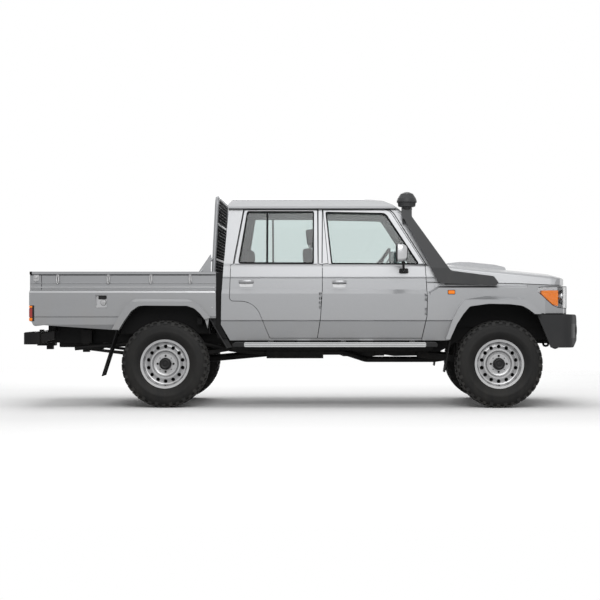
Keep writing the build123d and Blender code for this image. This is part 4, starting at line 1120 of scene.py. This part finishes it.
for side_name, s in SIDES:
    y = s * 380
    cushion = pad("seat_cushion_" + side_name, (382, y, 966), (262, 248, 58), -1.5, cloth, crown=10,
                  bolster=20, seams=[("y", -140, 7), ("y", 140, 7), ("x", 60, 5), ("x", -70, 5)])
    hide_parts("front_seats")
    pad("seat_back_" + side_name, (78, y, 1256), (276, 238, 54), 84, cloth, crown=10, bolster=20,
        seams=[("y", -130, 7), ("y", 130, 7), ("x", 100, 5), ("x", -40, 5), ("x", -160, 5)])
    pad("head_rest_" + side_name, (78, y, 1638), (76, 126, 40), 84, side_cloth, crown=8,
        seams=[("x", 0, 3)], cuts=18)
    posts = [[(66, y + b, 1500), (74, y + b, 1600)] for b in (-60, 60)]
    tubes("head_rest_posts_" + side_name, posts, 6.5, steel)
    base = [box(150, 570, y - 215, y + 215, 880, 908)]
    base += [box(x, x + 40, y - 200, y + 200, 700, 885) for x in (170, 500)]
    base += [box(150, 570, y + a, y + a + 20, 700, 730) for a in (-205, 185)]
    make("seat_base_" + side_name, joined(*base), dark_trim, edge=4)
    cover = rounded([(40, 930), (180, 930), (190, 990), (90, 1060), (50, 1050)], 22)
    make("seat_hinge_cover_" + side_name, along_y(cover, y - 256, y - 244), dark_trim, edge=3)
bench_seams = [("y", -215, 8), ("y", 215, 8), ("y", -430, 5), ("y", 430, 5)]
rear = pad("bench_cushion", (-318, 0, 965), (238, 636, 62), -3, cloth, crown=12,
           seams=bench_seams + [("x", 20, 5)], cuts=40)
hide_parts("rear_seat")
pad("bench_back", (-566, 0, 1270), (262, 636, 44), 95, cloth, crown=10,
    seams=bench_seams + [("x", 60, 5), ("x", -120, 5)], cuts=40)
make("bench_base", box(-540, -160, -600, 600, 700, 905), dark_trim, edge=12)


# Cab inside: dash, controls, steering wheel, linings and door cards
hood = loft([[(x, y, z) for y, z in rounded([(-520, 1322), (-500, 1372 + lift), (-240, 1372 + lift),
                                             (-220, 1322)], 24)]
             for x, lift in [(900, 0), (1000, 8), (1080, -20)]])
make("instrument_hood", hood, dark_trim, edge=3)
dial = [(0, 0), (42, 0), (42, -5), (38, -7), (38, -2), (0, -2)]
make("instrument_rings", joined(*[turned_x(dial, 893, y, 1262, 28) for y in (-430, -330)]), steel,
     slot="grey_trim")
vents = [box(884, 896, y - 55, y + 55, z, z + 5)
         for y in (-640, -110, 110, 640) for z in range(1240, 1289, 12)]
make("dash_vents", joined(*vents), black)
knobs = [turned_x([(0, 0), (13, 0), (12, -12), (0, -12)], 894, y, 1150, 20) for y in (-60, 0, 60)]
make("dash_controls", joined(along_x(oblong(-92, 92, 1130, 1228, 8), 893, 910), *knobs), black, edge=2)
tunnel = rounded([(-196, 698), (-152, 906), (152, 906), (196, 698)], 44)
make("tunnel_trim", along_x(tunnel, 250, 860), dark_trim)
tubes("gear_lever", [[(720, -20, 900), (700, -20, 1010), (670, -20, 1100)]], 7, steel, smooth=True)
knob = [(0, 0), (18, 2), (24, 18), (22, 36), (12, 46), (0, 47)]
make("gear_knob", turned_z(knob, 668, -20, 1096, 24), black)
boot = [(0, 0), (62, 0), (54, 14), (50, 12), (38, 36), (34, 34), (20, 66), (0, 68)]
make("gear_boot", turned_z(boot, 715, -20, 902, 28), rubber, slot="black_plastic")
tubes("hand_brake", [[(480, -150, 880), (560, -150, 930), (640, -150, 985)]], 14, black)
AXIS = Vector((-0.82, 0, 0.572))
HUB = Vector((745, -370, 1372))
SPIN = AXIS.to_track_quat("Z", "X")


def on_wheel(a, b, w):
    return tuple(HUB + SPIN @ Vector((a, b, w)))


ring = [(180 + u, v) for u, v in [polar(16, k / 12) for k in range(12)]]
wheel = make("steering_rim", turned(ring, on_wheel, 64), black, sharp=80)
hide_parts("steering_wheel")
make("steering_boss", turned([(0, -30), (62, -24), (66, 4), (48, 20), (0, 26)], on_wheel, 40), dark_trim,
     slot="black_plastic")
spokes = [[on_wheel(*polar(r, 0.25 + i / 3), w) for r, w in [(40, -2), (110, -4), (178, 0)]]
          for i in range(3)]
tubes("steering_spokes", spokes, 10, dark_trim, smooth=True, slot="black_plastic")
tubes("steering_column", [[on_wheel(0, 0, -20), on_wheel(0, 0, -215)]], 34, dark_trim, sides=5,
      slot="black_plastic")
stalks = [[on_wheel(0, 0, -60), on_wheel(a, b, -52)] for a, b in [(110, 60), (-60, 120)]]
tubes("column_stalks", stalks, 6, black)
grab = [(1010, 672, 1700), (975, 650, 1690), (1010, 650, 1600), (1045, 668, 1585), (1062, 690, 1590)]
tubes("grab_handles", [[(x, s * y, z) for x, y, z in grab] for s in (1, -1)], 9, dark_trim, smooth=True)
visors = [along_x(oblong(y - 170, y + 170, 1806, 1862, 14), 838, 850) for y in (-340, 340)]
make("sun_visors", joined(*visors), trim, edge=4)
make("roof_lining", along_z(oblong(-660, 780, -640, 640, 60), 1884, 1892), trim, edge=3)
FRONT_CARD = oblong(260, 1090, 740, 1330, 40)
REAR_CARD = rounded([(-570, 1060), (-400, 1040), (-250, 745), (110, 745), (110, 1330), (-570, 1330)], 40)
for side in SIDES:
    for end, card, x0, x1 in [("front", FRONT_CARD, 260, 1090), ("rear", REAR_CARD, -420, 110)]:
        body = door_body(end, side)
        on_side(side, end + "_door_card", along_y(card, 732, 742), trim, body, edge=3)
        rest = along_y(oblong(x0 + 60, x1 - 60, 1080, 1130, 20), 690, 734)
        on_side(side, end + "_arm_rest", rest, dark_trim, body, edge=8)
        crank = turned_y([(0, 0), (22, 0), (20, 14), (0, 16)], x0 + 200, 732, 1180, -1, 24)
        on_side(side, end + "_window_winder", crank, black, body)


# Engine bay
cover = rounded([(-130, 1148), (-130, 1196), (130, 1196), (130, 1148)], 20)
make("rocker_cover", along_x(cover, 1400, 2040), alloy, edge=6)
ribs = [box(x, x + 12, -120, 120, 1194, 1204) for x in range(1450, 1901, 90)]
make("cover_ribs", joined(*ribs), alloy, edge=2)
make("oil_cap", turned_z([(0, 0), (28, 0), (28, 16), (22, 22), (0, 22)], 1960, 60, 1196, 20), black)
make("air_box", box(1560, 1860, -640, -440, 1140, 1235), black, edge=14)
hose = [(1700, -450, 1200), (1680, -340, 1240), (1640, -230, 1230), (1620, -140, 1180)]
tubes("air_hose", [hose], 36, black, smooth=True, sides=6)
make("battery", box(1980, 2200, 450, 620, 1140, 1222), black, edge=5)
posts = [turned_z([(0, 0), (9, 0), (8, 14), (0, 14)], x, 560, 1221, 16) for x in (2030, 2150)]
make("battery_posts", joined(*posts), steel)
make("coolant_bottle", box(1960, 2120, -600, -470, 1140, 1215), pale_lens, edge=16, slot="grey_trim")
hose = [(2050, 120, 1160), (2160, 150, 1180), (2240, 180, 1120), (2300, 180, 1080)]
tubes("radiator_hose", [hose], 24, rubber, smooth=True, sides=5)
booster = [(0, 0), (90, 6), (104, 40), (90, 74), (40, 84), (0, 86)]
make("brake_booster", turned_x(booster, 1262, -560, 1235, 36), frame_black)
make("fan", joined(turned_x([(0, 0), (60, 0), (60, 20), (0, 24)], 2200, 0, 940, 28),
                   turned_x([(206, 0), (214, 0), (214, 60), (206, 60)], 2216, 0, 940, 40)), black)


# Stage, camera and light
# The floor fades out between these distances, in metres
FADE_START = 4.0
FADE_END = 9.0


def stage_material():
    """Pale floor that keeps the truck's shadow and thins out into the white background."""
    material, tree, apply = new_material("pale floor")
    seen = add_node(tree, "LightPath").outputs["Is Camera Ray"]
    far = add_node(tree, "VectorMath", operation="LENGTH")
    feed(tree, far.inputs[0], placed(tree))
    left = minus(tree, FADE_END, far.outputs["Value"])
    apply(Base_Color=mixed(tree, seen, (0.6, 0.6, 0.6), (1.0, 1.0, 1.0)), Roughness=0.95,
          Alpha=maths(tree, "DIVIDE", left, FADE_END - FADE_START, True), Specular_IOR_Level=0.0)
    return material


mesh = bpy.data.meshes.new("floor")
mesh.from_pydata([(-12, -12, 0), (12, -12, 0), (12, 12, 0), (-12, 12, 0)], [], [(0, 1, 2, 3)])
floor = in_scene("floor", mesh)
mesh.materials.append(stage_material())
floor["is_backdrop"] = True

# White for the camera and in reflections, weaker as light
AMBIENT = 0.45
world = bpy.data.worlds.new("studio")
bpy.context.scene.world = world
world.use_nodes = True
tree = world.node_tree
back = tree.nodes["Background"]
rays = add_node(tree, "LightPath").outputs
seen = maths(tree, "MAXIMUM", rays["Is Camera Ray"],
             maths(tree, "MAXIMUM", rays["Is Glossy Ray"], rays["Is Transmission Ray"]))
back.inputs["Color"].default_value = (1, 1, 1, 1)
tree.links.new(plus(tree, AMBIENT, times(tree, seen, 1 - AMBIENT)), back.inputs["Strength"])


def soft_light(name, spot, target, size, power):
    data = bpy.data.lights.new(name, "AREA")
    data.shape = "SQUARE"
    data.size = size
    data.energy = power
    lamp = in_scene(name, data)
    lamp.location = spot
    lamp.rotation_euler = (Vector(target) - Vector(spot)).to_track_quat("-Z", "Y").to_euler()
    lamp.visible_camera = False
    lamp.visible_transmission = False


soft_light("overhead", spot=(0, 0, 9), target=(0, 0, 0), size=9, power=260)
soft_light("right side", spot=(1, -9, 5.5), target=(0, 0, 1), size=6, power=400)
soft_light("left side", spot=(-1, 9, 5.5), target=(0, 0, 1), size=6, power=400)

lens_data = bpy.data.cameras.new("photo camera")
lens_data.sensor_width = 36
lens_data.lens = 97.4
lens_data.shift_x = -0.0583
lens_data.shift_y = 0.005
lens_data.clip_end = 200
camera = in_scene("photo camera", lens_data)
camera.location = (0.3184, -16.28, 0.996)
camera.rotation_euler = (math.radians(90), 0, 0)
bpy.context.scene.camera = camera
bpy.context.scene.view_settings.view_transform = "Standard"

low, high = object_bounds()
